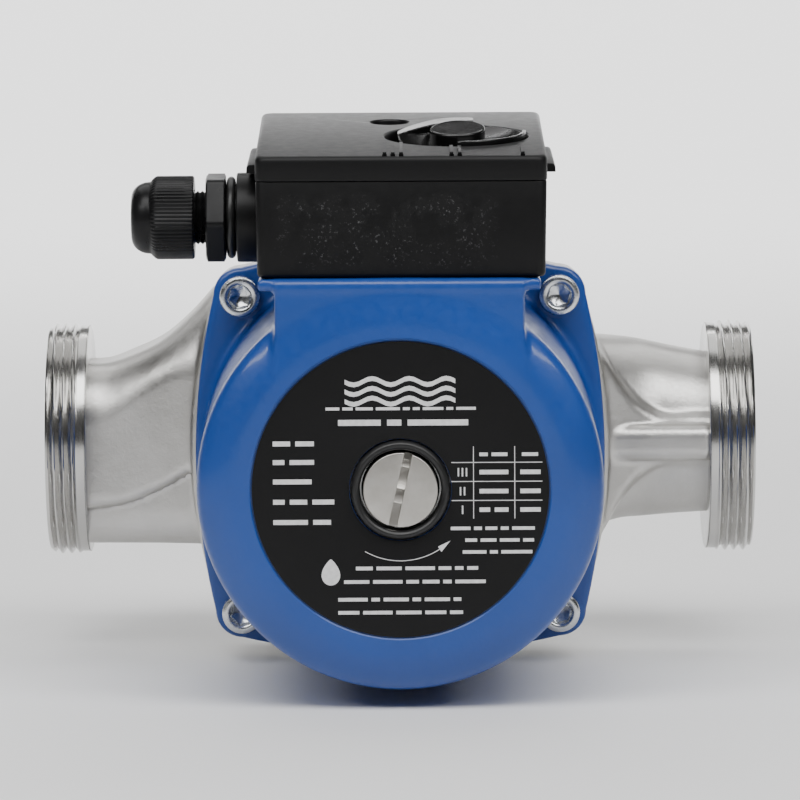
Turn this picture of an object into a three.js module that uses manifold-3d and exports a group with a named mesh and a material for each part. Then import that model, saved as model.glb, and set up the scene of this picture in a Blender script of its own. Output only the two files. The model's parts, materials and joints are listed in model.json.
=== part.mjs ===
// Three-speed wet-rotor circulator pump, 180 mm between its G 2 union faces.
// Millimetres. Origin: where the port axis crosses the motor axis.
// +X runs along the port axis to the discharge, -Y along the motor axis to the vent screw, +Z up.
import * as THREE from 'three';
import { mergeVertices } from 'three/addons/utils/BufferGeometryUtils.js';
import Module from 'manifold-3d';

const wasm = await Module();
wasm.setup();

// ---------- driving dimensions ----------
const GAP = 0.3;                                   // clearance between touching pieces
const PORT_TO_PORT = 180;
const THREAD_R = 29.7;                             // G 2 male thread, crest radius
const PORT_BORE_R = 16;                            // DN 32 waterway
const SUCTION_RING = 10.4;                         // length of each union thread ring
const DISCHARGE_RING = 11.6;

const SCREW_SQUARE = 79.6;                         // pitch of the four flange screws
const LUG_R = 6.8;
const FLANGE_HALF = 51.3;                          // flange half width at the middle of a side
const JOINT_Y = -33;                               // front face of the pump housing
const FLANGE_BACK = JOINT_Y - 0.7;                 // back face of the stator housing flange
const FLANGE_FRONT = FLANGE_BACK - 7;

const DRUM_R = 48.2;                               // stator housing drum
const DRUM_FRONT = -125;
const CAVITY_R = 43.5;
const LABEL_R = 35;
const NECK_HALF = 29.4;                            // saddle that carries the terminal box
const NECK_TOP = 47.6;
const NECK_FRONT = -124.2;
const NECK_BACK = -49.5;
const PAD_HALF = 33.3;
const PAD_TOP = 49.5;
const PAD_FRONT = -123.3;
const PAD_BACK = -49;

const VENT_R = 8.85;                               // vent screw head
const SLOT_TURN = THREE.MathUtils.degToRad(12.6);  // slot direction away from vertical
const COLLAR_R = 11.7;

const CHAMBER_R = 42;                              // impeller chamber
const CHAMBER_BACK = -12;
const SHAFT_R = 5;
const CAN_R = 27.5;

const BOX_LEFT = -33.9;                            // terminal box
const BOX_RIGHT = 34.9;
const BOX_FRONT = -121.3;
const BOX_BACK = -48.7;
const BOX_BASE = PAD_TOP + GAP;
const LUG_REACH = 2.6;                             // side lugs of the lid
const LID_SPLIT = 72.2;
const LID_EDGE = 78.3;                             // height of the lid's front top edge
const LID_SLOPE = THREE.MathUtils.degToRad(5.9);
const BOX_WALL = 2.4;
const BOX_FLOOR = 2.7;

const KNOB = { x: 13.9, run: 32.8, dish: 17.3, depth: 4.2 };
const LID_SCREW = { x: -2.2, run: 55.6 };
const GLAND = { y: -85, z: 62 };
const GLAND_THREAD_R = 7.6;
const CABLE_HOLE = { x: 15, y: -62 };

// ---------- materials ----------
function material(color, roughness, metalness) {
  return new THREE.MeshStandardMaterial({ color, roughness, metalness });
}

const castSteel = () => material(0xb9b8b3, 0.42, 0.9);
const machinedSteel = () => material(0xc4c4c2, 0.25, 1);
const zinc = () => material(0xb4b6b8, 0.3, 1);
const bluePaint = () => material(0x2a5ea8, 0.45, 0.1);
const blackPlastic = () => material(0x1a1a1b, 0.45, 0);
const rubber = () => material(0x101010, 0.8, 0);
const labelFilm = () => material(0x161617, 0.5, 0);
const copper = () => material(0xb5652c, 0.4, 0.8);
const lamination = () => material(0x6f7276, 0.5, 0.9);
const carbon = () => material(0x2b2b2d, 0.5, 0.1);
const brass = () => material(0xb8963e, 0.35, 1);
const ivory = () => material(0xd8d3c2, 0.5, 0);
const whitePlastic = () => material(0xdadada, 0.5, 0);

// ---------- solids ----------
function signedVolume(positions, index) {
  const a = new THREE.Vector3();
  const b = new THREE.Vector3();
  const c = new THREE.Vector3();
  let volume = 0;
  for (let i = 0; i < index.length; i += 3) {
    a.fromArray(positions, 3 * index[i]);
    b.fromArray(positions, 3 * index[i + 1]);
    c.fromArray(positions, 3 * index[i + 2]);
    volume += a.dot(b.cross(c)) / 6;
  }
  return volume;
}

// A closed geometry as a solid: vertices merged, slivers dropped, faces turned outwards.
function solid(geometry) {
  const bare = geometry.clone();
  bare.deleteAttribute('normal');
  bare.deleteAttribute('uv');
  const merged = mergeVertices(bare, 1e-4);
  const positions = merged.getAttribute('position').array;
  const all = Array.from(merged.getIndex().array);
  const kept = [];
  for (let i = 0; i < all.length; i += 3) {
    const [a, b, c] = all.slice(i, i + 3);
    if (a !== b && b !== c && c !== a) {
      kept.push(a, b, c);
    }
  }
  if (signedVolume(positions, kept) < 0) {
    kept.reverse();
  }
  return new wasm.Manifold(new wasm.Mesh({
    numProp: 3,
    vertProperties: new Float32Array(positions),
    triVerts: new Uint32Array(kept),
  }));
}

function geometryOf(shape) {
  const mesh = shape.getMesh();
  const geometry = new THREE.BufferGeometry();
  geometry.setAttribute('position', new THREE.BufferAttribute(mesh.vertProperties, 3));
  geometry.setIndex(new THREE.BufferAttribute(mesh.triVerts, 1));
  geometry.computeVertexNormals();
  return geometry;
}

const join = (first, ...others) => others.reduce((sum, next) => sum.add(next), first);
const cut = (first, ...others) => others.reduce((left, next) => left.subtract(next), first);

function box(x0, x1, y0, y1, z0, z1) {
  const geometry = new THREE.BoxGeometry(x1 - x0, y1 - y0, z1 - z0);
  geometry.translate((x0 + x1) / 2, (y0 + y1) / 2, (z0 + z1) / 2);
  return solid(geometry);
}

// Turns a geometry whose own axis is Y so that its axis lies along the named one.
function layAlong(geometry, axis) {
  if (axis === 'x') {
    geometry.rotateZ(-Math.PI / 2);
  } else if (axis === 'z') {
    geometry.rotateX(Math.PI / 2);
  }
  return geometry;
}

function rod(axis, radius, from, to, centre = [0, 0, 0], sides = 20) {
  const geometry = new THREE.CylinderGeometry(radius, radius, to - from, sides);
  geometry.translate(0, (from + to) / 2, 0);
  layAlong(geometry, axis).translate(...centre);
  return solid(geometry);
}

// A turned solid: points are [radius, place along the axis], from the axis back to the axis or closed.
function turned(axis, points, centre = [0, 0, 0], sides = 20) {
  const profile = points.map(([radius, along]) => new THREE.Vector2(radius, along));
  const geometry = new THREE.LatheGeometry(profile, sides);
  layAlong(geometry, axis).translate(...centre);
  return solid(geometry);
}

function ring(axis, inner, outer, from, to, centre = [0, 0, 0], sides = 20) {
  const section = [[inner, from], [outer, from], [outer, to], [inner, to], [inner, from]];
  return turned(axis, section, centre, sides);
}

// A ring of round or oval section.
function bead(axis, middle, halfWide, halfLong, along, centre = [0, 0, 0], sides = 20, steps = 6) {
  const section = [];
  for (let i = 0; i <= steps; i += 1) {
    const turn = (i % steps) * 2 * Math.PI / steps;
    section.push([middle + halfWide * Math.cos(turn), along + halfLong * Math.sin(turn)]);
  }
  return turned(axis, section, centre, sides);
}

// An outline in the XZ plane, extruded along Y.
function plate(shape, from, to, curveSegments = 12) {
  const depth = to - from;
  const geometry = new THREE.ExtrudeGeometry(shape, { depth, bevelEnabled: false, curveSegments });
  geometry.rotateX(Math.PI / 2);
  geometry.translate(0, to, 0);
  return solid(geometry);
}

// An outline in the YZ plane, extruded along X.
function sidePlate(points, from, to) {
  const shape = new THREE.Shape(points.map(([y, z]) => new THREE.Vector2(y, z)));
  const geometry = new THREE.ExtrudeGeometry(shape, { depth: to - from, bevelEnabled: false });
  geometry.applyMatrix4(new THREE.Matrix4().set(0, 0, 1, from, 1, 0, 0, 0, 0, 1, 0, 0, 0, 0, 0, 1));
  return solid(geometry);
}

// A tube of the given radius along a smooth curve through the points.
function pipe(points, radius, steps, sides = 8) {
  const curve = new THREE.CatmullRomCurve3(points.map((point) => new THREE.Vector3(...point)));
  const outline = new THREE.Shape().absarc(0, 0, radius, 0, 2 * Math.PI, false);
  const settings = { steps, extrudePath: curve, curveSegments: sides / 2 };
  return solid(new THREE.ExtrudeGeometry(outline, settings));
}

// A casting that changes its section along X. Each section is a rounded box in YZ:
// { x, low, high, front, back } with exponent `square`, 2 for an ellipse and more for a boxier one.
function lofted(sections, square, around = 18) {
  const positions = [];
  const index = [];
  for (const { x, low, high, front, back } of sections) {
    for (let i = 0; i < around; i += 1) {
      const turn = 2 * Math.PI * i / around;
      const reach = (value) => Math.sign(value) * Math.abs(value) ** (2 / square);
      const y = (front + back) / 2 + (back - front) / 2 * reach(Math.cos(turn));
      const z = (low + high) / 2 + (high - low) / 2 * reach(Math.sin(turn));
      positions.push(x, y, z);
    }
  }
  const last = sections.length - 1;
  for (let row = 0; row < last; row += 1) {
    for (let i = 0; i < around; i += 1) {
      const a = row * around + i;
      const b = row * around + (i + 1) % around;
      index.push(a, b, b + around, a, b + around, a + around);
    }
  }
  for (let i = 1; i < around - 1; i += 1) {
    index.push(0, i + 1, i);
    index.push(last * around, last * around + i, last * around + i + 1);
  }
  const geometry = new THREE.BufferGeometry();
  geometry.setAttribute('position', new THREE.Float32BufferAttribute(positions, 3));
  geometry.setIndex(index);
  return solid(geometry);
}

// ---------- assembly ----------
const pump = new THREE.Group();

function piece(name, shape, finish) {
  const mesh = new THREE.Mesh(geometryOf(shape), finish);
  mesh.name = name;
  pump.add(mesh);
}

const screwCentres = [[-1, 1], [1, 1], [-1, -1], [1, -1]].map(([sideX, sideZ]) => (
  { x: sideX * SCREW_SQUARE / 2, z: sideZ * SCREW_SQUARE / 2 }));

// A square with round corners about the screws and gently bulged sides that meet them smoothly.
function flangeOutline(cornerR, half) {
  const corner = SCREW_SQUARE / 2;
  const inset = corner - half;
  const bulgeR = (cornerR ** 2 - inset ** 2 - corner ** 2) / (2 * (inset + cornerR));
  const meet = Math.atan2(corner, bulgeR + inset);
  const shape = new THREE.Shape();
  for (let side = 0; side < 4; side += 1) {
    const turn = side * Math.PI / 2;
    const middle = new THREE.Vector2(half - bulgeR, 0).rotateAround(new THREE.Vector2(), turn);
    const lug = new THREE.Vector2(corner, corner).rotateAround(new THREE.Vector2(), turn);
    shape.absarc(middle.x, middle.y, bulgeR, turn - meet, turn + meet, false);
    shape.absarc(lug.x, lug.y, cornerR, turn + meet, turn + Math.PI / 2 - meet, false);
  }
  return shape;
}

// ---------- pump housing: volute, ducts and union threads ----------
const SUCTION_NECK = [
  { x: -81, low: -27.4, high: 20.2, front: -21, back: 21 },
  { x: -73, low: -27.3, high: 20.6, front: -22, back: 23 },
  { x: -64, low: -27.2, high: 24.8, front: -24, back: 26 },
  { x: -54, low: -27.2, high: 32.3, front: -27, back: 28 },
  { x: -46, low: -27.2, high: 41.0, front: -29, back: 28 },
  { x: -30, low: -27.2, high: 44.0, front: -30, back: 26 },
];
const DISCHARGE_NECK = [
  { x: 30, low: -23.0, high: 27.0, front: -30, back: 20 },
  { x: 50, low: -22.4, high: 26.0, front: -28, back: 21 },
  { x: 62, low: -21.3, high: 25.2, front: -25, back: 21 },
  { x: 72, low: -19.6, high: 22.9, front: -22, back: 21 },
  { x: 80, low: -19.0, high: 21.6, front: -20, back: 20 },
];
const SUCTION_PATH = [[-94, 0, 0], [-72, 0, 0], [-52, 2, 0], [-30, 9, 0], [-10, 12, 0], [4, 12, 0]];
const DISCHARGE_PATH = [[24, -21, 8], [42, -17, 5], [58, -7, 1], [76, 0, 0], [94, 0, 0]];
const EYE_R = 15.5;

function threadRing(inner, outer) {
  const chamfer = 1.3;
  const way = Math.sign(outer - inner);
  return turned('x', [
    [0, inner], [THREAD_R - chamfer, inner], [THREAD_R, inner + way * chamfer],
    [THREAD_R, outer - way * chamfer], [THREAD_R - chamfer, outer], [0, outer],
  ], [0, 0, 0], 32);
}

function pumpHousing() {
  const volute = turned('y', [
    [0, JOINT_Y + 1], [49, JOINT_Y + 1], [49.5, -14], [46.5, -5], [38, 7], [30, 16], [20, 25.5], [0, 28],
  ], [0, 0, 0], 32);
  const flange = plate(flangeOutline(LUG_R - GAP, FLANGE_HALF - GAP), JOINT_Y, JOINT_Y + 11, 4);
  const half = PORT_TO_PORT / 2;
  const body = join(volute, flange, lofted(SUCTION_NECK, 2.7), lofted(DISCHARGE_NECK, 2.5),
    threadRing(-half + SUCTION_RING, -half), threadRing(half - DISCHARGE_RING, half),
    box(50, half - DISCHARGE_RING + 1, -28.4, -15, -6.3, 2.5));
  const hollow = [
    rod('y', CHAMBER_R, JOINT_Y - 1, CHAMBER_BACK, [0, 0, 0], 28),
    rod('y', 47, JOINT_Y - 1, JOINT_Y + 3.5, [0, 0, 0], 28),
    rod('y', EYE_R, CHAMBER_BACK - 1, 14),
    pipe(SUCTION_PATH, 13, 6, 10),
    rod('x', PORT_BORE_R, -half - 1, -half + 24),
    pipe(DISCHARGE_PATH, 11.5, 5, 10),
    rod('x', PORT_BORE_R, half - 22, half + 1),
  ];
  const tapped = screwCentres.map(({ x, z }) => rod('y', 3.3, JOINT_Y - 1, JOINT_Y + 9, [x, 0, z], 10));
  return cut(body, ...hollow, ...tapped);
}

piece('pump_housing', pumpHousing(), castSteel());
piece('neck_ring', join(
  ring('y', 12.9, EYE_R - GAP, CHAMBER_BACK - 1, CHAMBER_BACK + 8),
  ring('y', 12.9, 18, CHAMBER_BACK - 1.6, CHAMBER_BACK - GAP),
), machinedSteel());
piece('housing_gasket', ring('y', 42.6, 46.4, JOINT_Y + 1.8, JOINT_Y + 3.2, [0, 0, 0], 28), rubber());

// ---------- rotor: everything that spins about the motor axis ----------
const BLADE_COUNT = 6;

function impellerBlade(number) {
  const from = 12.5;
  const to = 36;
  const sweep = 1.1;
  const half = 0.9;
  const steps = 4;
  const near = [];
  const far = [];
  for (let i = 0; i <= steps; i += 1) {
    const radius = from + (to - from) * i / steps;
    const turn = number * 2 * Math.PI / BLADE_COUNT - sweep * i / steps;
    const point = new THREE.Vector2(radius, 0).rotateAround(new THREE.Vector2(), turn);
    const side = new THREE.Vector2(half, 0).rotateAround(new THREE.Vector2(), turn + Math.PI / 2 - 0.8);
    near.push(point.clone().sub(side));
    far.unshift(point.add(side));
  }
  return plate(new THREE.Shape([...near, ...far]), -23.2, -17.8);
}

function impeller() {
  const disc = turned('y', [
    [5.3, -25.5], [9, -25.5], [9, -24.8], [36.5, -24.8], [36.5, -22.8], [9, -22.8],
    [8, -18.6], [5.3, -18.6], [5.3, -25.5],
  ], [0, 0, 0], 30);
  const blades = Array.from({ length: BLADE_COUNT }, (unused, number) => impellerBlade(number));
  return join(disc, ...blades);
}

piece('impeller', impeller(), machinedSteel());
piece('impeller_shroud', turned('y', [
  [10.6, -6], [12.5, -6], [12.5, -14.2], [14.5, -16], [36.5, -16],
  [36.5, -17.5], [12.6, -17.5], [10.6, -15], [10.6, -6],
], [0, 0, 0], 30), machinedSteel());
piece('impeller_nut', ring('y', SHAFT_R + GAP, 7.6, -18.2, -15.6), zinc());
piece('shaft', rod('y', SHAFT_R, -102.5, -15, [0, 0, 0], 30), machinedSteel());
piece('rotor_core', ring('y', SHAFT_R + GAP, 25.7, -92, -50, [0, 0, 0], 30), lamination());
piece('rotor_end_ring_front', ring('y', 17, 25.2, -95.4, -92.3), copper());
piece('rotor_end_ring_rear', ring('y', 17, 25.2, -49.7, -46.6), copper());
piece('thrust_disc', ring('y', SHAFT_R + GAP, 9.5, -49.4, -46.4), carbon());

// ---------- bearings and the can that keeps the water off the windings ----------
piece('bearing_plate', turned('y', [
  [9.6, -43], [12, -43], [12, JOINT_Y - 0.4], [46.6, JOINT_Y - 0.4],
  [46.6, JOINT_Y + 1.5], [9.6, JOINT_Y + 1.5], [9.6, -43],
], [0, 0, 0], 30), machinedSteel());
piece('plate_bearing', ring('y', SHAFT_R + 0.1, 9.3, -42.6, -31.8, [0, 0, 0], 30), carbon());
piece('thrust_bearing', ring('y', SHAFT_R + GAP, 10, -46, -43.3), carbon());
piece('rotor_can', turned('y', [
  [CAN_R - 1, FLANGE_BACK - GAP], [CAN_R + 6, FLANGE_BACK - GAP], [CAN_R + 6, FLANGE_BACK - 1.3],
  [CAN_R, FLANGE_BACK - 1.3], [CAN_R, -107], [11, -107], [11, -120.1], [7.6, -120.1], [7.6, -105.6],
  [CAN_R - 1, -105.6], [CAN_R - 1, FLANGE_BACK - GAP],
], [0, 0, 0], 30), machinedSteel());
piece('can_bearing_holder', ring('y', 10.6, CAN_R - 1.3, -104.9, -101.5), machinedSteel());
piece('can_bearing', ring('y', SHAFT_R + 0.1, 10.3, -105, -97, [0, 0, 0], 30), carbon());

// ---------- stator ----------
piece('stator_core', ring('y', CAN_R + GAP, 42.6, -92, -50, [0, 0, 0], 30), lamination());
piece('winding_front', bead('y', 35.2, 6.6, 5.6, -98.2), copper());
piece('winding_rear', bead('y', 35.2, 6.6, 5.6, -43.8), copper());

// ---------- stator housing ----------
const FIXINGS = [[-27, -110], [27, -58]];          // screws that hold the terminal box

function statorHousing() {
  const drum = turned('y', [
    [0, FLANGE_BACK], [49.2, FLANGE_BACK], [DRUM_R, -120.4], [46.6, -122.2], [43.4, -123.9],
    [38.6, DRUM_FRONT], [0, DRUM_FRONT],
  ], [0, 0, 0], 40);
  const flange = plate(flangeOutline(LUG_R, FLANGE_HALF), FLANGE_FRONT, FLANGE_BACK, 5);
  const saddle = box(-NECK_HALF, NECK_HALF, NECK_FRONT, NECK_BACK, 30, NECK_TOP + 1);
  const pad = box(-PAD_HALF, PAD_HALF, PAD_FRONT, PAD_BACK, NECK_TOP, PAD_TOP);
  const body = join(drum, flange, saddle, pad);
  const cableHole = rod('z', 5.5, 38, PAD_TOP + 1, [CABLE_HOLE.x, CABLE_HOLE.y, 0], 16);
  const fixings = FIXINGS.map(([x, y]) => rod('z', 2, 42, PAD_TOP + 1, [x, y, 0], 12));
  const through = screwCentres.map(({ x, z }) => (
    join(rod('y', 3.3, FLANGE_FRONT - 1, FLANGE_BACK + 1, [x, 0, z], 10),
      rod('y', 6.2, -58, FLANGE_FRONT, [x, 0, z], 12))));
  return cut(body,
    rod('y', CAVITY_R, -118, FLANGE_BACK + 1, [0, 0, 0], 28),
    rod('y', 12, DRUM_FRONT - 1, -117),
    rod('y', LABEL_R + GAP, DRUM_FRONT - 1, DRUM_FRONT + 0.9, [0, 0, 0], 32),
    cableHole, ...fixings, ...through);
}

piece('stator_housing', statorHousing(), bluePaint());
const labelDisc = ring('y', 12.1, LABEL_R, DRUM_FRONT + 0.2, DRUM_FRONT + 0.6, [0, 0, 0], 32);
piece('name_plate', labelDisc, labelFilm());

function flangeScrew(x, z) {
  const seat = FLANGE_FRONT - GAP;
  const head = turned('y', [
    [0, seat - 2.6], [2.5, seat - 2.6], [2.5, seat - 6], [4.7, seat - 6], [5, seat - 5.6],
    [5, seat], [0, seat],
  ], [x, 0, z], 16);
  return join(head, rod('y', 3, seat - 0.5, JOINT_Y + 8, [x, 0, z], 10));
}

screwCentres.forEach(({ x, z }, number) => {
  piece(`flange_screw_${number + 1}`, flangeScrew(x, z), zinc());
});

// ---------- vent screw ----------
function ventScrew() {
  const head = -122.2;
  const face = -125.8;
  const whole = turned('y', [
    [0, face], [VENT_R - 0.5, face], [VENT_R, face + 0.5], [VENT_R, head],
    [7.2, head], [7.2, -108], [0, -108],
  ], [0, 0, 0], 24);
  const slot = new THREE.BoxGeometry(2.1, 3.4, 2 * VENT_R + 2);
  slot.rotateY(SLOT_TURN);
  slot.translate(0, face, 0);
  return cut(whole, solid(slot));
}

piece('vent_screw', ventScrew(), machinedSteel());
piece('vent_o_ring', bead('y', 8.4, 0.8, 0.6, -121.2), rubber());
piece('vent_collar', turned('y', [
  [9.6, -120.4], [COLLAR_R, -120.4], [COLLAR_R, -125.6], [10.6, -126.6], [9.6, -125.6], [9.6, -120.4],
], [0, 0, 0], 24), rubber());

// ---------- terminal box ----------
// The lid's top is a sloping panel. Local Y runs back along the slope and local Z is its normal.
const lidFrame = new THREE.Matrix4().makeRotationX(LID_SLOPE).setPosition(0, BOX_FRONT, LID_EDGE);

function tilted(shape) {
  return solid(geometryOf(shape).applyMatrix4(lidFrame));
}

// A rod square to the sloping panel, between two depths below it.
function sunk(at, radius, from, to, sides) {
  return tilted(rod('z', radius, -to, -from, [at.x, at.run, 0], sides));
}

const lidTop = (y) => LID_EDGE + (y - BOX_FRONT) * Math.tan(LID_SLOPE);
const glandAt = [0, GLAND.y, GLAND.z];
const GASKET = { x0: 5, x1: 25, y0: -72, y1: -53 };

function boxBase() {
  const outer = join(
    box(BOX_LEFT + GAP, BOX_RIGHT - GAP, BOX_FRONT + GAP, BOX_BACK - GAP, BOX_BASE, LID_SPLIT),
    rod('x', 10.8, -39.1, BOX_LEFT - GAP, glandAt),
    rod('x', 10, -39, BOX_LEFT + 2, glandAt));
  const inner = box(BOX_LEFT + 3, BOX_RIGHT - 3, BOX_FRONT + 3, BOX_BACK - 3,
    BOX_BASE + BOX_FLOOR, LID_SPLIT + 1);
  const post = cut(sunk(LID_SCREW, 4, 12.5, 34, 12),
    box(-12, 8, -90, -50, 30, BOX_BASE + 1), sunk(LID_SCREW, 2.3, 11, 21, 10));
  const { x0, x1, y0, y1 } = GASKET;
  return join(cut(outer, inner, rod('x', GLAND_THREAD_R + GAP, -45, -25, glandAt),
    box(x0 - GAP, x1 + GAP, y0 - GAP, y1 + GAP, BOX_BASE - 1, BOX_BASE + 1.3),
    rod('z', 6.5, 45, 60, [CABLE_HOLE.x, CABLE_HOLE.y, 0], 20),
    ...FIXINGS.map(([x, y]) => rod('z', 2, 45, 60, [x, y, 0], 12))), post);
}

function boxLid() {
  const sideOf = (inset, lift, floor) => [
    [BOX_FRONT + inset, floor], [BOX_BACK - inset, floor],
    [BOX_BACK - inset, lidTop(BOX_BACK - inset) - lift],
    [BOX_FRONT + inset, lidTop(BOX_FRONT + inset) - lift],
  ];
  const floor = LID_SPLIT + GAP;
  const shell = cut(sidePlate(sideOf(0, 0, floor), BOX_LEFT, BOX_RIGHT),
    sidePlate(sideOf(BOX_WALL, BOX_WALL, floor - 1), BOX_LEFT + BOX_WALL, BOX_RIGHT - BOX_WALL));
  const dish = sunk(KNOB, KNOB.dish + 1.6, 0.5, KNOB.depth + 1.8, 24);
  const cup = sunk(LID_SCREW, 6.4, 0.5, 7.6, 16);
  const lugs = [[BOX_LEFT - LUG_REACH, BOX_LEFT + 1], [BOX_RIGHT - 1, BOX_RIGHT + LUG_REACH]].map(([x0, x1]) =>
    box(x0, x1, -98, -80, LID_SPLIT + 0.8, LID_SPLIT + 5.4));
  return cut(join(shell, dish, cup, ...lugs),
    sunk(KNOB, KNOB.dish, -2, KNOB.depth, 24),
    sunk(KNOB, 4.6, 0, 9, 16),
    sunk(LID_SCREW, 4.6, -2, 5.4, 16),
    sunk(LID_SCREW, 2.4, 0, 9, 10));
}

function rectangularRing(xLeft, xRight, yFront, yBack, wide, z0, z1) {
  return cut(box(xLeft, xRight, yFront, yBack, z0, z1),
    box(xLeft + wide, xRight - wide, yFront + wide, yBack - wide, z0 - 1, z1 + 1));
}

piece('terminal_box_base', boxBase(), blackPlastic());
piece('box_gasket', cut(
  box(GASKET.x0, GASKET.x1, GASKET.y0, GASKET.y1, BOX_BASE - 0.1, BOX_BASE + 1),
  rod('z', 6.5, 45, 60, [CABLE_HOLE.x, CABLE_HOLE.y, 0], 20)), rubber());
FIXINGS.forEach(([x, y], number) => {
  const seat = BOX_BASE + BOX_FLOOR + GAP;
  const screw = turned('z', [
    [0, seat + 2.2], [2.2, seat + 2.2], [3.2, seat + 1.2], [3.2, seat], [1.7, seat], [1.7, 43], [0, 43],
  ], [x, y, 0], 12);
  piece(`box_screw_${number + 1}`, screw, zinc());
});
piece('terminal_box_lid', boxLid(), blackPlastic());
const lidSeal = rectangularRing(BOX_LEFT + 2.7, BOX_RIGHT - 2.7, BOX_FRONT + 2.7, BOX_BACK - 2.7, 1.8,
  LID_SPLIT + GAP, LID_SPLIT + 1.5);
piece('lid_seal', lidSeal, rubber());
piece('lid_screw', cut(
  join(sunk(LID_SCREW, 4.1, 2.6, 5.1, 16), sunk(LID_SCREW, 2, 5, 18, 10)),
  tilted(box(LID_SCREW.x - 5, LID_SCREW.x + 5, LID_SCREW.run - 0.5, LID_SCREW.run + 0.5, -3.8, 0)),
), zinc());

// ---------- speed selector ----------
function speedKnob() {
  const hubR = 6.4;
  const reach = 14.6;
  const tipR = 1.4;
  const lean = Math.acos((hubR - tipR) / (reach - tipR));
  const outline = new THREE.Shape();
  outline.absarc(0, 0, hubR, Math.PI + lean, 3 * Math.PI - lean, false);
  outline.absarc(-(reach - tipR), 0, tipR, Math.PI - lean, Math.PI + lean, false);
  const grip = new THREE.ExtrudeGeometry(outline, { depth: 5.6, bevelEnabled: false, curveSegments: 6 });
  grip.translate(KNOB.x, KNOB.run, GAP - KNOB.depth);
  return cut(join(tilted(solid(grip)), sunk(KNOB, 4.2, 3, 9.4, 16)), sunk(KNOB, 2.9, 4.4, 10, 12));
}

piece('speed_knob', speedKnob(), blackPlastic());
piece('switch_shaft', sunk(KNOB, 2.5, 4.8, 12.6, 12), whitePlastic());
piece('speed_switch', cut(
  sidePlate([[-98.7, 53.1], [-78.7, 53.1], [-78.7, 68.6], [-98.7, 66.6]], 4.5, 23.5),
  sunk(KNOB, 2.8, 5, 13.2, 12)), ivory());

// ---------- terminals, capacitor and wiring ----------
const BLOCK = { x0: -24, x1: 1, y0: -96, y1: -78, top: 66 };
const TERMINALS = [-20, -11.5, -3];

function terminalBlock() {
  const body = box(BLOCK.x0, BLOCK.x1, BLOCK.y0, BLOCK.y1, 53.1, BLOCK.top);
  const wells = TERMINALS.map((x) => rod('z', 2.9, 60, 70, [x, -87, 0], 10));
  const entries = TERMINALS.map((x) => rod('y', 2, -100, -90, [x, 0, 57.5], 8));
  return cut(body, ...wells, ...entries);
}

piece('terminal_block', terminalBlock(), ivory());
TERMINALS.forEach((x, number) => {
  const screw = cut(rod('z', 2.5, 60.4, 64, [x, -87, 0], 10),
    box(x - 3, x + 3, -87.4, -86.6, 63.2, 65));
  piece(`terminal_screw_${number + 1}`, screw, brass());
});
piece('earth_terminal', join(
  box(-29, -21, -66, -58, 53.1, 54.3),
  rod('z', 2.8, 54, 57.6, [-25, -62, 0], 16)), brass());
piece('capacitor', turned('x', [
  [0, -19], [7.2, -19], [7.8, -18.4], [7.8, 25.4], [7.2, 26], [0, 26],
], [0, -109, 61.5], 20), whitePlastic());

const WIRES = {
  wire_common: [
    [12, -63.5, 42], [12, -63.5, 56], [8, -68, 62], [-1, -74, 60], [-3, -76, 58.5], [-3, -77.2, 57.4],
  ],
  wire_start: [[15, -63.5, 42], [15, -63.5, 55], [15, -69, 62], [15, -75, 62.5], [15, -77.7, 61.4]],
  wire_run: [[18, -63, 42], [18, -63, 55], [20, -68, 62], [20, -73.5, 61], [20, -77.5, 59.5]],
};
const WIRE_COLOURS = { wire_common: 0x1b1b1b, wire_start: 0xb8322a, wire_run: 0xe4e4e0 };
for (const [name, points] of Object.entries(WIRES)) {
  piece(name, pipe(points, 1.1, 12, 6), material(WIRE_COLOURS[name], 0.5, 0));
}

// ---------- cable gland ----------
// A hexagonal prism along X with flats above and below.
function hexagon(flats, from, to, centre) {
  const radius = flats / Math.sqrt(3);
  const geometry = new THREE.CylinderGeometry(radius, radius, to - from, 6);
  geometry.rotateY(Math.PI / 6).translate(0, (from + to) / 2, 0);
  return solid(layAlong(geometry, 'x').translate(...centre));
}

piece('gland_body', cut(
  join(rod('x', GLAND_THREAD_R, -45, -27.6, glandAt), hexagon(20, -46.5, -41.8, glandAt),
    rod('x', 6.5, -58, -46, glandAt)),
  rod('x', 5.2, -60, -27, glandAt)), blackPlastic());
piece('gland_o_ring', ring('x', GLAND_THREAD_R + GAP, 9.9, -41.5, -39.4, glandAt), rubber());
piece('gland_locknut', cut(hexagon(18, -30.6, -27.8, glandAt),
  rod('x', GLAND_THREAD_R + GAP, -32, -26, glandAt)), blackPlastic());
piece('gland_seal', ring('x', 3.6, 4.9, -61.5, -50, glandAt), rubber());
piece('gland_claw', ring('x', 5.2, 6.6, -61.6, -58.4, glandAt), blackPlastic());
piece('gland_nut', turned('x', [
  [6.8, -49.4], [10.1, -49.4], [10.1, -59.3], [8.7, -59.9], [8.4, -62.4], [6.9, -64.3], [5.4, -64.7],
  [4.6, -63.4], [5.4, -62], [6.8, -61.8], [6.8, -49.4],
], glandAt), blackPlastic());

export default pump;
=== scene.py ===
"""Looks of a wet-rotor circulator pump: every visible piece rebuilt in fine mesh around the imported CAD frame.

Lengths are in millimetres in the frame's axes (+X to the discharge, -Y to the vent screw, +Z up) and are
turned into metres where a mesh is made.
"""
import json
import math
import random

import bpy
import numpy as np
from mathutils import Matrix, Vector


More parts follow.
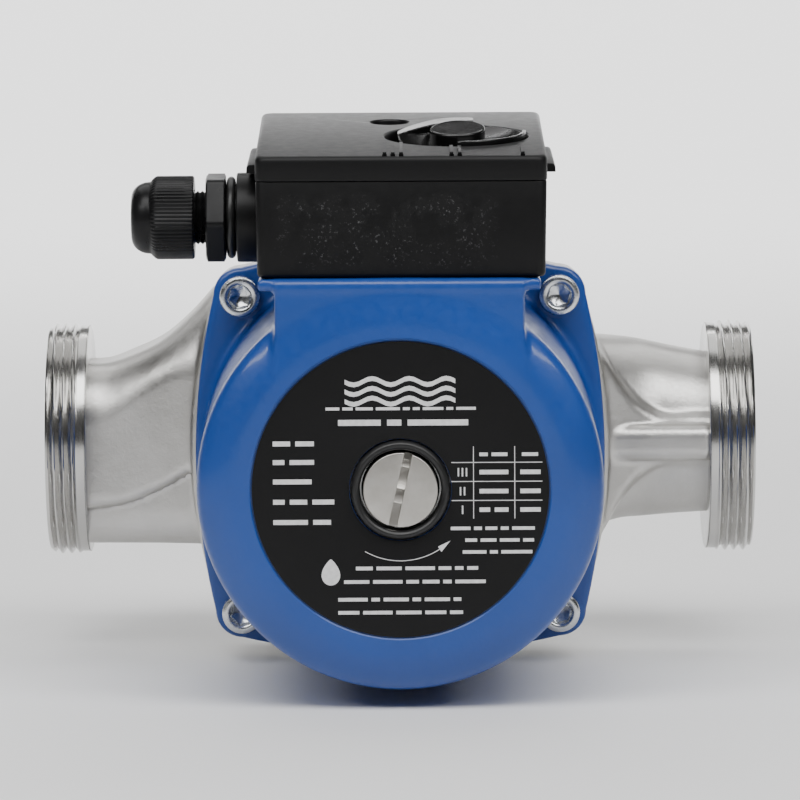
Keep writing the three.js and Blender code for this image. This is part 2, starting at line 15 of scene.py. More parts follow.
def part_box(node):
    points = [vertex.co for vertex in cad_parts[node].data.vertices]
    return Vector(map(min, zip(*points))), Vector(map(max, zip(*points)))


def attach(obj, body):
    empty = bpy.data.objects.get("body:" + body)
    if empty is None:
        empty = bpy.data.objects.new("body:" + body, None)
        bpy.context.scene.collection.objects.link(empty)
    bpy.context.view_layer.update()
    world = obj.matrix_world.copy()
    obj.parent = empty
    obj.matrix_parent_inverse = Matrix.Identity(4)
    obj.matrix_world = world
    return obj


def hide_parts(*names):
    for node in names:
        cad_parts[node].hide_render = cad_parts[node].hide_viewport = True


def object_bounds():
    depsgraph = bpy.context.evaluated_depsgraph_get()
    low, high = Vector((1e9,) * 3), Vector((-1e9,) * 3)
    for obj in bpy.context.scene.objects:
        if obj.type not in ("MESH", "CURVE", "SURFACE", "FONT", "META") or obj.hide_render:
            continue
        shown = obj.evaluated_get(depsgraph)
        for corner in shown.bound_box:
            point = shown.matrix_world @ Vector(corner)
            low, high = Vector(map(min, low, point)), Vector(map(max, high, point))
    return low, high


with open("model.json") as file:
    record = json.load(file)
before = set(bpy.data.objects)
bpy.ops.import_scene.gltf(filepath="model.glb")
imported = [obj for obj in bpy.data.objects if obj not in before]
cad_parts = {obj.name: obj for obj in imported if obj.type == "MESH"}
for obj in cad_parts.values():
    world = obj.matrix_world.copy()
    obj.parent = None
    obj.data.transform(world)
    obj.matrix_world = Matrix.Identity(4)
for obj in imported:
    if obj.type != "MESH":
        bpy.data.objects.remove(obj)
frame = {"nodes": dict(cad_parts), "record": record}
cad_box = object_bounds()

MM = 0.001


# ---------------------------------------------------------------- sizes
def node_box(node):
    low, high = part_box(node)
    return low / MM, high / MM


housing_low, housing_high = node_box("pump_housing")
stator_low, stator_high = node_box("stator_housing")
base_low = node_box("terminal_box_base")[0]
lid_low, lid_high = node_box("terminal_box_lid")
screw_low, screw_high = node_box("flange_screw_2")
plate_low, plate_high = node_box("name_plate")
vent_low, vent_high = node_box("vent_screw")
nut_low, nut_high = node_box("gland_nut")

PORT_END = housing_high.x                       # half the port-to-port length
THREAD_R = 29.7
THREAD_PITCH = 2.309
PORT_BORE_R = 16.0
SUCTION_RING = 10.4
DISCHARGE_RING = 11.6
JOINT_Y = housing_low.y
FLANGE_BACK = stator_high.y
FLANGE_FRONT = FLANGE_BACK - 7.0
FLANGE_HALF = stator_high.x
LUG_R = 6.8
SCREW_AT = (screw_low.x + screw_high.x) / 2     # half the pitch of the square of flange screws
SCREW_PLACES = [(x, z) for x in (-SCREW_AT, SCREW_AT) for z in (-SCREW_AT, SCREW_AT)]
BOX_SCREWS = ((-27, -110), (27, -58))           # the two screws that hold the box to its pad
LEAD_HOLE = (15, -62, 0)                        # where the winding leads come up into the box
DRUM_FRONT = stator_low.y
DRUM_R = 48.2
LABEL_R = plate_high.x
NECK_HALF = 29.4
SADDLE_FRONT = DRUM_FRONT + 0.5
PAD_TOP = base_low.z - 0.3
BOX_LEFT = lid_low.x + 2.6                      # the lid's lugs reach 2.6 past its sides
BOX_RIGHT = lid_high.x - 2.6
BOX_FRONT = lid_low.y
BOX_BACK = lid_high.y
LID_SPLIT = lid_low.z - 0.05                    # the base's wall ends just under the lid
LID_EDGE = 78.3
LID_SLOPE = math.radians(5.9)
KNOB_X = 13.9
KNOB_RUN = 32.8
DISH_R = 17.3
DISH_DEPTH = 4.2
LID_SCREW_X = -2.2
LID_SCREW_RUN = 55.6
GLAND_Y = (nut_low.y + nut_high.y) / 2
GLAND_Z = (nut_low.z + nut_high.z) / 2
GLAND_CENTRE = (0, GLAND_Y, GLAND_Z)
VENT_R = vent_high.x
SLOT_TURN = math.radians(12.6)


# ---------------------------------------------------------------- materials
class Shader:
    """A small builder for node materials in object space, in metres."""

    def __init__(self, name):
        self.material = bpy.data.materials.new(name)
        self.material.use_nodes = True
        self.nodes = self.material.node_tree.nodes
        self.links = self.material.node_tree.links
        self.bsdf = self.nodes["Principled BSDF"]
        self.place = self.nodes.new("ShaderNodeTexCoord").outputs["Object"]

    def link(self, source, target):
        self.links.new(source, target)

    def feed(self, node, inputs):
        """Gives each numbered input its constant, or links it to another node's output."""
        for slot, value in inputs:
            if isinstance(value, (int, float, tuple)):
                node.inputs[slot].default_value = value
            elif value is not None:
                self.link(value, node.inputs[slot])

    def set(self, **values):
        for key, value in values.items():
            self.bsdf.inputs[key.replace("_", " ")].default_value = value
        return self

    def stretched(self, scale):
        mapping = self.nodes.new("ShaderNodeMapping")
        mapping.inputs["Scale"].default_value = scale
        self.link(self.place, mapping.inputs["Vector"])
        return mapping.outputs["Vector"]

    def noise(self, scale, detail=3.0, roughness=0.55, place=None):
        node = self.nodes.new("ShaderNodeTexNoise")
        node.inputs["Scale"].default_value = scale
        node.inputs["Detail"].default_value = detail
        node.inputs["Roughness"].default_value = roughness
        self.link(place or self.place, node.inputs["Vector"])
        return node.outputs["Fac"]

    def math(self, operation, first, second=None):
        node = self.nodes.new("ShaderNodeMath")
        node.operation = operation
        self.feed(node, ((0, first), (1, second)))
        return node.outputs[0]

    def span(self, value, low, high, to_low, to_high):
        node = self.nodes.new("ShaderNodeMapRange")
        node.inputs["From Min"].default_value = low
        node.inputs["From Max"].default_value = high
        node.inputs["To Min"].default_value = to_low
        node.inputs["To Max"].default_value = to_high
        self.link(value, node.inputs["Value"])
        return node.outputs["Result"]

    def spread(self, value, to_low, to_high):
        """The middle of a noise, where nearly all of it lies, brought to a new range."""
        return self.span(value, 0.3, 0.7, to_low, to_high)

    def mix(self, factor, first, second):
        node = self.nodes.new("ShaderNodeMix")
        node.data_type = "RGBA"
        self.feed(node, ((0, factor), (6, (*first, 1.0)), (7, (*second, 1.0))))
        return node.outputs[2]

    def parts_of(self):
        node = self.nodes.new("ShaderNodeSeparateXYZ")
        self.link(self.place, node.inputs[0])
        return node.outputs

    def colour(self, factor, first, second):
        """A base colour between two, each as red, green and blue."""
        self.link(self.mix(factor, first, second), self.bsdf.inputs["Base Color"])

    def roughness(self, value):
        self.link(value, self.bsdf.inputs["Roughness"])

    def bump(self, *layers):
        """Each layer is (height 0 to 1, depth in metres); they add up."""
        normal = None
        for height, depth in layers:
            node = self.nodes.new("ShaderNodeBump")
            node.inputs["Strength"].default_value = 1.0
            node.inputs["Distance"].default_value = depth
            self.link(height, node.inputs["Height"])
            if normal is not None:
                self.link(normal, node.inputs["Normal"])
            normal = node.outputs["Normal"]
        self.link(normal, self.bsdf.inputs["Normal"])
        return self


def cast_steel():
    shader = Shader("cast_steel").set(Metallic=1.0)
    blotch = shader.noise(55, 4.0)
    grain = shader.noise(1500, 2.0, 0.6)
    fine = shader.noise(4200, 2.0, 0.6)
    shader.colour(shader.spread(blotch, 0.0, 1.0), (0.52, 0.51, 0.49), (0.64, 0.63, 0.61))
    wear = shader.spread(blotch, 0.34, 0.45)
    shader.roughness(shader.math("ADD", wear, shader.spread(grain, -0.04, 0.05)))
    return shader.bump((shader.noise(260, 3.0), 0.00010), (grain, 0.000034), (fine, 0.000012)).material


def thread_steel():
    shader = Shader("thread_steel").set(Metallic=1.0)
    turning = shader.noise(1.0, 3.0, 0.6, shader.stretched((5200, 260, 260)))
    blotch = shader.noise(80, 3.0)
    shader.colour(blotch, (0.50, 0.49, 0.47), (0.62, 0.615, 0.60))
    shader.roughness(shader.span(turning, 0.25, 0.75, 0.14, 0.27))
    return shader.bump((turning, 0.000014), (shader.noise(900, 2.0), 0.00001)).material


def turned_steel():
    """Facing marks: fine rings about the motor axis."""
    shader = Shader("turned_steel").set(Metallic=1.0)
    x, _y, z = shader.parts_of()
    squares = [shader.math("MULTIPLY", part, part) for part in (x, z)]
    radius = shader.math("SQRT", shader.math("ADD", *squares))
    marks = shader.nodes.new("ShaderNodeTexNoise")
    marks.noise_dimensions = "1D"
    marks.inputs["Scale"].default_value = 4200
    marks.inputs["Detail"].default_value = 3.0
    shader.link(radius, marks.inputs["W"])
    rings = marks.outputs["Fac"]
    stain = shader.noise(260, 3.0)
    shader.colour(shader.span(stain, 0.35, 0.7, 0.0, 1.0), (0.60, 0.58, 0.545), (0.52, 0.50, 0.46))
    shader.roughness(shader.spread(rings, 0.30, 0.46))
    return shader.bump((rings, 0.00002), (shader.noise(3000, 2.0), 0.000006)).material


def blue_paint():
    shader = Shader("blue_paint").set(Specular_IOR_Level=0.42, Coat_Weight=0.40, Coat_Roughness=0.12)
    cloud = shader.noise(30, 3.0)
    shader.colour(shader.spread(cloud, 0.0, 1.0), (0.004, 0.046, 0.240), (0.006, 0.056, 0.285))
    peel = shader.noise(620, 2.0, 0.45)
    shader.roughness(shader.spread(peel, 0.36, 0.48))
    return shader.bump((peel, 0.00006), (shader.noise(2600, 2.0), 0.000012)).material


def black_plastic():
    """Moulded box plastic; the front face carries a rubbed, glue-marked patch."""
    shader = Shader("black_plastic").set(Specular_IOR_Level=0.24)
    x, y, z = shader.parts_of()
    front = shader.span(y, (BOX_FRONT + 1.5) * MM, (BOX_FRONT + 0.9) * MM, 0.0, 1.0)
    across = shader.math("ABSOLUTE", shader.math("ADD", x, 3.0 * MM))
    up = shader.math("ABSOLUTE", shader.math("SUBTRACT", z, 60.5 * MM))
    patch_x = shader.span(across, 21 * MM, 27 * MM, 1.0, 0.0)
    patch_z = shader.span(up, 6 * MM, 9.5 * MM, 1.0, 0.0)
    patch = shader.math("MULTIPLY", front, shader.math("MULTIPLY", patch_x, patch_z))
    ragged = shader.span(shader.noise(170, 3.0), 0.42, 0.56, 0.0, 1.0)
    scuff = shader.math("MULTIPLY", patch, ragged)
    grains = shader.noise(2300, 3.0, 0.7)
    specks = shader.math("MULTIPLY", scuff, shader.span(shader.noise(1500, 2.0, 0.7), 0.60, 0.70, 0.0, 1.0))
    shader.colour(specks, (0.0028, 0.0028, 0.0030), (0.065, 0.065, 0.067))
    fine = shader.spread(shader.noise(420, 3.0), -0.02, 0.03)
    plain = shader.math("ADD", shader.span(y, BOX_FRONT * MM, BOX_BACK * MM, 0.47, 0.29), fine)
    shader.roughness(shader.math("ADD", plain, shader.math("MULTIPLY", scuff, 0.22)))
    rough = shader.math("MULTIPLY", grains, shader.span(scuff, 0.0, 1.0, 0.25, 1.0))
    return shader.bump((rough, 0.00006), (shader.noise(700, 2.0), 0.000012)).material


def label_film():
    shader = Shader("label_film").set(Specular_IOR_Level=0.22)
    grain = shader.noise(2600, 3.0, 0.65)
    cloud = shader.noise(60, 2.0)
    shader.colour(cloud, (0.0040, 0.0040, 0.0043), (0.0055, 0.0055, 0.0058))
    shader.roughness(shader.spread(grain, 0.38, 0.54))
    return shader.bump((grain, 0.00002)).material


def white_ink():
    shader = Shader("white_ink").set(Specular_IOR_Level=0.4)
    wear = shader.noise(900, 3.0)
    shader.colour(shader.spread(wear, 0.0, 1.0), (0.60, 0.60, 0.60), (0.74, 0.74, 0.74))
    shader.roughness(shader.spread(wear, 0.42, 0.55))
    return shader.bump((wear, 0.00001)).material


def plain(name, dark, light, rough, cloud=220, pits=1600, depth=0.000012, **settings):
    """A cloudy colour with fine pits: `rough` is the range of roughness, `cloud` and `pits` noise scales."""
    shader = Shader(name).set(**settings)
    tone = shader.noise(cloud, 3.0)
    shader.colour(tone, dark, light)
    shader.roughness(shader.spread(tone, *rough))
    return shader.bump((shader.noise(pits, 2.0), depth)).material


def layered(name, dark, light, rough, stretch, detail, softness, depth, **settings):
    """Strands or sheets along one axis: `stretch` is the noise scale along X, Y and Z."""
    shader = Shader(name).set(**settings)
    lines = shader.noise(1.0, detail, softness, shader.stretched(stretch))
    shader.colour(lines, dark, light)
    shader.roughness(shader.spread(lines, *rough))
    return shader.bump((lines, depth)).material


MOULDED = (0.3, 0.45)                           # roughness of ordinary moulded plastic


materials = {
    "cast_steel": cast_steel(),
    "thread_steel": thread_steel(),
    "turned_steel": turned_steel(),
    "zinc": plain("zinc_plate", (0.60, 0.62, 0.65), (0.76, 0.77, 0.77), (0.16, 0.30),
                  420, 1800, 0.00001, Metallic=1.0),
    "blue_paint": blue_paint(),
    "black_plastic": black_plastic(),
    "gland_plastic": plain("gland_plastic", (0.0045, 0.0045, 0.0048), (0.0075, 0.0075, 0.008), (0.24, 0.40),
                           160, 1500, 0.00001, Specular_IOR_Level=0.20),
    "knob_plastic": plain("knob_plastic", (0.003, 0.003, 0.003), (0.005, 0.005, 0.005), (0.17, 0.26)),
    "rubber": plain("soft_rubber", (0.008, 0.008, 0.008), (0.016, 0.016, 0.016), (0.28, 0.46),
                    300, 2200, 0.000008, Specular_IOR_Level=0.4),
    "label_film": label_film(),
    "white_ink": white_ink(),
    "copper": layered("varnished_copper", (0.40, 0.13, 0.045), (0.72, 0.30, 0.12), (0.28, 0.45),
                      (1800, 420, 1800), 3.0, 0.5, 0.00012,
                      Metallic=0.85, Coat_Weight=0.5, Coat_Roughness=0.2),
    "lamination": layered("stacked_steel", (0.20, 0.205, 0.215), (0.42, 0.425, 0.43), (0.35, 0.6),
                          (30, 2400, 30), 2.0, 0.4, 0.00008, Metallic=1.0),
    "machined_steel": plain("machined_steel", (0.52, 0.52, 0.51), (0.68, 0.68, 0.67), (0.2, 0.34),
                            Metallic=1.0),
    "carbon": plain("carbon", (0.018, 0.018, 0.02), (0.04, 0.04, 0.042), (0.4, 0.6)),
    "brass": plain("brass", (0.50, 0.34, 0.10), (0.68, 0.50, 0.20), (0.22, 0.36), Metallic=1.0),
    "ivory_plastic": plain("ivory_plastic", (0.60, 0.56, 0.44), (0.68, 0.64, 0.53), MOULDED),
    "white_plastic": plain("white_plastic", (0.62, 0.62, 0.61), (0.72, 0.72, 0.71), (0.22, 0.34)),
    "wire_black": plain("wire_black", (0.010, 0.010, 0.010), (0.018, 0.018, 0.018), MOULDED),
    "wire_red": plain("wire_red", (0.34, 0.018, 0.012), (0.46, 0.03, 0.02), MOULDED),
    "wire_white": plain("wire_white", (0.58, 0.58, 0.54), (0.70, 0.70, 0.66), MOULDED),
}


# ---------------------------------------------------------------- mesh helpers
def linked(name, data):
    """A new object in the scene that holds the data."""
    thing = bpy.data.objects.new(name, data)
    bpy.context.scene.collection.objects.link(thing)
    return thing


def shaded(mesh, sharp):
    """Smooth, but edges steeper than `sharp` degrees stay crisp."""
    mesh.shade_smooth()
    mesh.set_sharp_from_angle(angle=math.radians(sharp))


def mesh_object(name, points, faces, finish, sharp=35.0):
    """A mesh from points in millimetres."""
    mesh = bpy.data.meshes.new(name)
    scaled = np.asarray(points, float).reshape(-1, 3) * MM
    mesh.from_pydata([tuple(p) for p in scaled], [], [tuple(int(i) for i in f) for f in faces])
    mesh.validate()
    shaded(mesh, sharp)
    mesh.materials.append(materials[finish])
    return linked(name, mesh)


def eased_edges(thing, width, steepest):
    """A small bevel, `width` millimetres wide, on edges steeper than the given degrees."""
    edge = thing.modifiers.new("edge", "BEVEL")
    edge.width = width * MM
    edge.segments = 2
    edge.limit_method = "ANGLE"
    edge.angle_limit = math.radians(steepest)


def turns(count):
    """The angles of evenly spaced places round a circle."""
    return [2 * math.pi * k / count for k in range(count)]


def facing_out(points, faces):
    """The faces turned so that the closed shape's volume is positive."""
    p = np.asarray(points, float).reshape(-1, 3)
    volume = 0.0
    for face in faces:
        a = p[face[0]]
        for i in range(1, len(face) - 1):
            volume += np.dot(a, np.cross(p[face[i]], p[face[i + 1]]))
    return faces if volume > 0 else [tuple(reversed(face)) for face in faces]


def stacked(rings, caps=True, closed=False):
    """Points and faces of a skin through rings with equal counts of points."""
    count = len(rings[0])
    points = [p for ring in rings for p in ring]
    faces = []
    rows = len(rings)
    for row in range(rows if closed else rows - 1):
        a = row * count
        b = ((row + 1) % rows) * count
        for i in range(count):
            j = (i + 1) % count
            faces.append((a + i, a + j, b + j, b + i))
    if caps and not closed:
        faces.append(tuple(reversed(range(count))))
        faces.append(tuple(range((rows - 1) * count, rows * count)))
    return points, facing_out(points, faces)


AXES = {
    "x": Matrix(((0, 0, 1), (1, 0, 0), (0, 1, 0))),
    "y": Matrix(((1, 0, 0), (0, 0, 1), (0, 1, 0))),
    "z": Matrix(((1, 0, 0), (0, 1, 0), (0, 0, 1))),
}


# From the lid panel's own axes (x, up the slope, normal) to the frame, in millimetres.
PANEL = Matrix.Translation((0, BOX_FRONT, LID_EDGE)) @ Matrix.Rotation(LID_SLOPE, 4, "X")
AT_KNOB = PANEL @ Matrix.Translation((KNOB_X, KNOB_RUN, 0))
AT_LID_SCREW = PANEL @ Matrix.Translation((LID_SCREW_X, LID_SCREW_RUN, 0))
FILLET_STEPS = 4


def filleted(profile, radius):
    """A profile of (r, along) points with its corners rounded; a third item sets a point's own radius."""
    out = []
    for i, point in enumerate(profile):
        own = point[2] if len(point) > 2 else radius
        here = Vector(point[:2])
        if i in (0, len(profile) - 1) or own <= 0:
            out.append(tuple(here))
            continue
        back = Vector(profile[i - 1][:2]) - here
        ahead = Vector(profile[i + 1][:2]) - here
        reach = min(own, back.length * 0.45, ahead.length * 0.45)
        start = here + back.normalized() * reach
        end = here + ahead.normalized() * reach
        for k in range(FILLET_STEPS + 1):
            t = k / FILLET_STEPS
            out.append(tuple(start * (1 - t) ** 2 + here * 2 * t * (1 - t) + end * t ** 2))
    return out


def lathe_rings(profile, axis, centre, sides, swell):
    turn = AXES[axis]
    rings = []
    for angle in turns(sides):
        ring = []
        for radius, along in profile:
            r = radius if swell is None else swell(radius, along, angle)
            local = Vector((r * math.cos(angle), r * math.sin(angle), along))
            ring.append(tuple(turn @ local + Vector(centre)))
        rings.append(ring)
    return rings


def lathe(profile, axis="y", centre=(0, 0, 0), sides=96, swell=None):
    """A turned shape. An open profile ends on the axis, and a closed one repeats its first point."""
    closed = tuple(profile[0]) == tuple(profile[-1])
    body = profile[:-1] if closed else profile
    inner = [p for p in body if p[0] > 1e-6]
    rings = lathe_rings(inner, axis, centre, sides, swell)
    count = len(inner)
    points = [p for ring in rings for p in ring]
    faces = []
    for k in range(sides):
        a = k * count
        b = ((k + 1) % sides) * count
        for i in range(count if closed else count - 1):
            j = (i + 1) % count
            faces.append((a + i, b + i, b + j, a + j))
    if not closed:
        for end, along in ((0, body[0][1]), (count - 1, body[-1][1])):
            if body[0 if end == 0 else -1][0] <= 1e-6:
                pole = len(points)
                points.append(tuple(AXES[axis] @ Vector((0, 0, along)) + Vector(centre)))
                for k in range(sides):
                    a = k * count + end
                    b = ((k + 1) % sides) * count + end
                    faces.append((a, b, pole) if end else (b, a, pole))
    return points, facing_out(points, faces)


def joined(*parts):
    points = []
    faces = []
    for part_points, part_faces in parts:
        offset = len(points)
        points.extend(part_points)
        faces.extend(tuple(i + offset for i in face) for face in part_faces)
    return points, faces


def rod_part(axis, radius, low, high, centre=(0, 0, 0), sides=64):
    return lathe([(0, low), (radius, low), (radius, high), (0, high)], axis, centre, sides)


def moved(part, matrix):
    points, faces = part
    return [tuple(matrix @ Vector(p)) for p in points], faces


def rectangle(u0, u1, v0, v1):
    return [(u0, v0), (u1, v0), (u1, v1), (u0, v1)]


def prism(outline, low, high, place, bevel=0.0):
    """An outline of (u, v) points swept from low to high, with eased edges.

    place(u, v, w) gives the point in the frame.
    """
    centre_u = sum(u for u, v in outline) / len(outline)
    centre_v = sum(v for u, v in outline) / len(outline)
    levels = [(low, bevel), (low + bevel, 0.0), (high - bevel, 0.0), (high, bevel)]
    if not bevel:
        levels = [(low, 0.0), (high, 0.0)]
    rings = []
    for level, inset in levels:
        ring = []
        for u, v in outline:
            away = Vector((u - centre_u, v - centre_v))
            eased = away - away.normalized() * min(inset, away.length * 0.5) if away.length else away
            ring.append(place(centre_u + eased.x, centre_v + eased.y, level))
        rings.append(ring)
    return stacked(rings)


def boolean(target, tools, operation):
    """Cuts closed meshes from the target, or joins them to it, and bakes the result into its mesh."""
    for tool in tools:
        modifier = target.modifiers.new("cut", "BOOLEAN")
        modifier.operation = operation
        modifier.solver = "MANIFOLD"
        modifier.object = tool
    graph = bpy.context.evaluated_depsgraph_get()
    finished = bpy.data.meshes.new_from_object(target.evaluated_get(graph))
    target.modifiers.clear()
    finish = target.data.materials[0]
    target.data = finished
    finished.materials.clear()
    finished.materials.append(finish)
    finished.polygons.foreach_set("material_index", [0] * len(finished.polygons))
    for tool in tools:
        bpy.data.objects.remove(tool)


def cutter(part):
    return mesh_object("cutter", *part, "cast_steel")


def cut(target, parts):
    boolean(target, [cutter(part) for part in parts], "DIFFERENCE")


def join(target, parts):
    boolean(target, [cutter(part) for part in parts], "UNION")


CORNER_STEPS = 6


def rounded_rectangle(left, right, front, back, radius):
    """Points anticlockwise seen from above."""
    corners = ((right, back, 0), (left, back, 1), (left, front, 2), (right, front, 3))
    out = []
    for x, y, quarter in corners:
        cx = x + (radius if x == left else -radius)
        cy = y + (radius if y == front else -radius)
        for k in range(CORNER_STEPS + 1):
            angle = math.pi / 2 * (quarter + k / CORNER_STEPS)
            out.append((cx + radius * math.cos(angle), cy + radius * math.sin(angle)))
    return out


# ---------------------------------------------------------------- cast shapes from distance fields
def smooth_min(a, b, k):
    h = np.clip(0.5 + 0.5 * (b - a) / k, 0.0, 1.0)
    return b * (1 - h) + a * h - k * h * (1 - h)


def smooth_max(a, b, k):
    return -smooth_min(-a, -b, k)


def hermite(x, stations, values):
    """A smooth curve through the stations, flat beyond them."""
    xs = np.asarray(stations, np.float32)
    vs = np.asarray(values, np.float32)
    slopes = np.gradient(vs, xs)
    x = np.clip(x, xs[0], xs[-1])
    i = np.clip(np.searchsorted(xs, x) - 1, 0, len(xs) - 2)
    step = xs[i + 1] - xs[i]
    t = (x - xs[i]) / step
    a = vs[i] * (1 + 2 * t) * (1 - t) ** 2 + vs[i + 1] * t * t * (3 - 2 * t)
    return a + step * (slopes[i] * t * (1 - t) ** 2 - slopes[i + 1] * t * t * (1 - t))


def slab(value, low, high):
    return np.maximum(low - value, value - high)


def rounded(a, b, edge):
    """The corner where two faces meet, given the distance to each, rounded with radius `edge`."""
    outside = np.sqrt(np.maximum(a, 0) ** 2 + np.maximum(b, 0) ** 2)
    return outside + np.minimum(np.maximum(a, b), 0) - edge


def disc(radial, along, radius, low, high, edge):
    """A cylinder with its rims rounded."""
    return rounded(radial - (radius - edge), slab(along, low + edge, high - edge), edge)


def block(x, y, z, low, high, edge):
    a = slab(x, low[0] + edge, high[0] - edge)
    b = slab(y, low[1] + edge, high[1] - edge)
    c = slab(z, low[2] + edge, high[2] - edge)
    outside = np.sqrt(np.maximum(a, 0) ** 2 + np.maximum(b, 0) ** 2 + np.maximum(c, 0) ** 2)
    return outside + np.minimum(np.maximum(np.maximum(a, b), c), 0) - edge


def ellipsoid(x, y, z, centre, radii):
    u = np.sqrt(((x - centre[0]) / radii[0]) ** 2 + ((y - centre[1]) / radii[1]) ** 2
                + ((z - centre[2]) / radii[2]) ** 2)
    return (u - 1.0) * min(radii)


def section(x, y, z, stations, low, high, front, back):
    """Where a neck's section is at x: y and z from its middle, and its two half sizes."""
    z0 = hermite(x, stations, low)
    z1 = hermite(x, stations, high)
    y0 = hermite(x, stations, front)
    y1 = hermite(x, stations, back)
    return y - (y0 + y1) / 2, z - (z0 + z1) / 2, (y1 - y0) / 2, (z1 - z0) / 2


def duct(x, y, z, stations, sides, power):
    """A neck along X whose section is a rounded box that changes smoothly from station to station."""
    off_y, off_z, half_y, half_z = section(x, y, z, stations, *sides)
    u = np.abs(off_y / half_y) ** power + np.abs(off_z / half_z) ** power
    body = (u ** (1.0 / power) - 1.0) * np.minimum(half_y, half_z)
    return smooth_max(body, slab(x, stations[0], stations[-1]), 1.0)


def round_duct(x, y, z, stations, sides, radii):
    """Like duct, but a flat-sided section with corners of the given radii."""
    off_y, off_z, half_y, half_z = section(x, y, z, stations, *sides)
    corner = np.minimum(hermite(x, stations, radii), 2 * np.minimum(half_y, half_z) * 0.49)
    body = rounded(np.abs(off_y) - half_y + corner, np.abs(off_z) - half_z + corner, corner)
    return smooth_max(body, slab(x, stations[0], stations[-1]), 1.0)


def bulged_square(x, z, corner, half_x, half_z, radius):
    """Signed distance to a square with round corners at the screws and gently bulged sides."""
    hx = corner + (half_x - radius - corner) * (1 - np.clip(np.abs(z) / corner, 0, 1) ** 2)
    hz = corner + (half_z - radius - corner) * (1 - np.clip(np.abs(x) / corner, 0, 1) ** 2)
    return rounded(np.abs(x) - hx, np.abs(z) - hz, radius)


def flange_field(x, y, z, half_x, half_z, radius, front, back, edge):
    a = bulged_square(x, z, SCREW_AT, half_x, half_z, radius) + edge
    return rounded(a, slab(y, front + edge, back - edge), edge)


def net_surface(field, low, high, cell):
    """Surface nets: quads along the field's zero level, with the points then slid onto the level itself."""
    counts = [int(math.ceil((h - l) / cell)) + 1 for l, h in zip(low, high)]
    axes = [np.float32(l) + np.float32(cell) * np.arange(n, dtype=np.float32) for l, n in zip(low, counts)]
    grid = np.meshgrid(*axes, indexing="ij", sparse=True)
    value = np.broadcast_to(field(*grid), counts).astype(np.float32)
    inside = value < 0
    cells = [n - 1 for n in counts]
    total = np.zeros((*cells, 3), np.float32)
    hits = np.zeros(cells, np.float32)
    corners = [(i, j, k) for i in (0, 1) for j in (0, 1) for k in (0, 1)]

    def corner_view(array, c):
        return array[c[0]:c[0] + cells[0], c[1]:c[1] + cells[1], c[2]:c[2] + cells[2]]

    for a in corners:
        for axis in range(3):
            if a[axis]:
                continue
            b = tuple(1 if d == axis else a[d] for d in range(3))
            va = corner_view(value, a)
            vb = corner_view(value, b)
            crossing = corner_view(inside, a) != corner_view(inside, b)
            t = np.where(crossing, va / np.where(crossing, va - vb, 1), 0)
            for d in range(3):
                total[..., d] += np.where(crossing, a[d] + (t if d == axis else 0), 0)
            hits += crossing
    used = hits > 0
    number = np.full(cells, -1, np.int64)
    number[used] = np.arange(int(used.sum()))
    where = np.argwhere(used)
    points = (where + total[used] / hits[used][:, None]) * cell + np.array([a[0] for a in axes])

    faces = []
    for axis in range(3):
        u, v = [d for d in range(3) if d != axis]
        first = inside[tuple(slice(0, -1) if d == axis else slice(1, -1) for d in range(3))]
        second = inside[tuple(slice(1, None) if d == axis else slice(1, -1) for d in range(3))]
        spots = np.argwhere(first != second)
        spots[:, u] += 1
        spots[:, v] += 1
        loop = []
        for du, dv in ((-1, -1), (0, -1), (0, 0), (-1, 0)):
            place = spots.copy()
            place[:, u] += du
            place[:, v] += dv
            loop.append(number[place[:, 0], place[:, 1], place[:, 2]])
        quads = np.stack(loop, 1)
        going_out = first[tuple((spots - np.array([0 if d == axis else 1 for d in range(3)])).T)]
        flip = going_out if axis == 1 else ~going_out
        quads[flip] = quads[flip][:, ::-1]
        faces.append(quads)
    faces = np.concatenate(faces)

    tiny = cell * 0.05
    for _ in range(3):
        x, y, z = (points[:, d] for d in range(3))
        here = field(x, y, z)
        slope = np.stack([(field(x + tiny, y, z) - here) / tiny, (field(x, y + tiny, z) - here) / tiny,
                          (field(x, y, z + tiny) - here) / tiny], 1)
        steep = np.maximum((slope ** 2).sum(1), 0.05)
        step = np.clip((here / steep)[:, None] * slope, -cell * 0.4, cell * 0.4)
        points = points - step
    return points, faces


def field_object(name, field, low, high, cell, finish):
    points, faces = net_surface(field, low, high, cell)
    mesh = bpy.data.meshes.new(name)
    mesh.vertices.add(len(points))
    mesh.vertices.foreach_set("co", (points * MM).astype(np.float32).ravel())
    mesh.loops.add(faces.size)
    mesh.loops.foreach_set("vertex_index", faces.astype(np.int32).ravel())
    mesh.polygons.add(len(faces))
    mesh.polygons.foreach_set("loop_start", np.arange(0, faces.size, 4, dtype=np.int32))
    mesh.update(calc_edges=True)
    mesh.shade_smooth()
    mesh.materials.append(materials[finish])
    return linked(name, mesh)


# ---------------------------------------------------------------- pump housing
SUCTION_STATIONS = (-81, -75, -68, -60, -53, -46, -38, -26)
SUCTION_TOP = (20.2, 20.4, 22.8, 27.0, 33.3, 41.0, 45.5, 46.0)
SUCTION_FRONT = (-22.5, -23.0, -24.0, -25.5, -27.5, -29.5, -30.5, -30.5)
SUCTION_BACK = (21, 22, 24, 26, 27, 27, 25, 22)
SUCTION_FOOT = -26.1
LEDGE_STATIONS = (-80, -68, -60, -52, -44)      # where the suction neck's front face steps back to its web
LEDGE_LEVEL = (-16.6, -14.0, -10.4, -5.7, -2.2)
WEB_STEP = 3.6
NECK_CORNERS = (15, 14.5, 12.5, 11.5, 16, 24, 27, 27)
NECK_LEAN_Z = (-30, 4, 20, 48)                  # the neck's back leans in over the volute as it rises
NECK_LEAN_Y = (27, 26, 19, -3)
DISCHARGE_STATIONS = (20, 40, 50, 60, 70, 80)
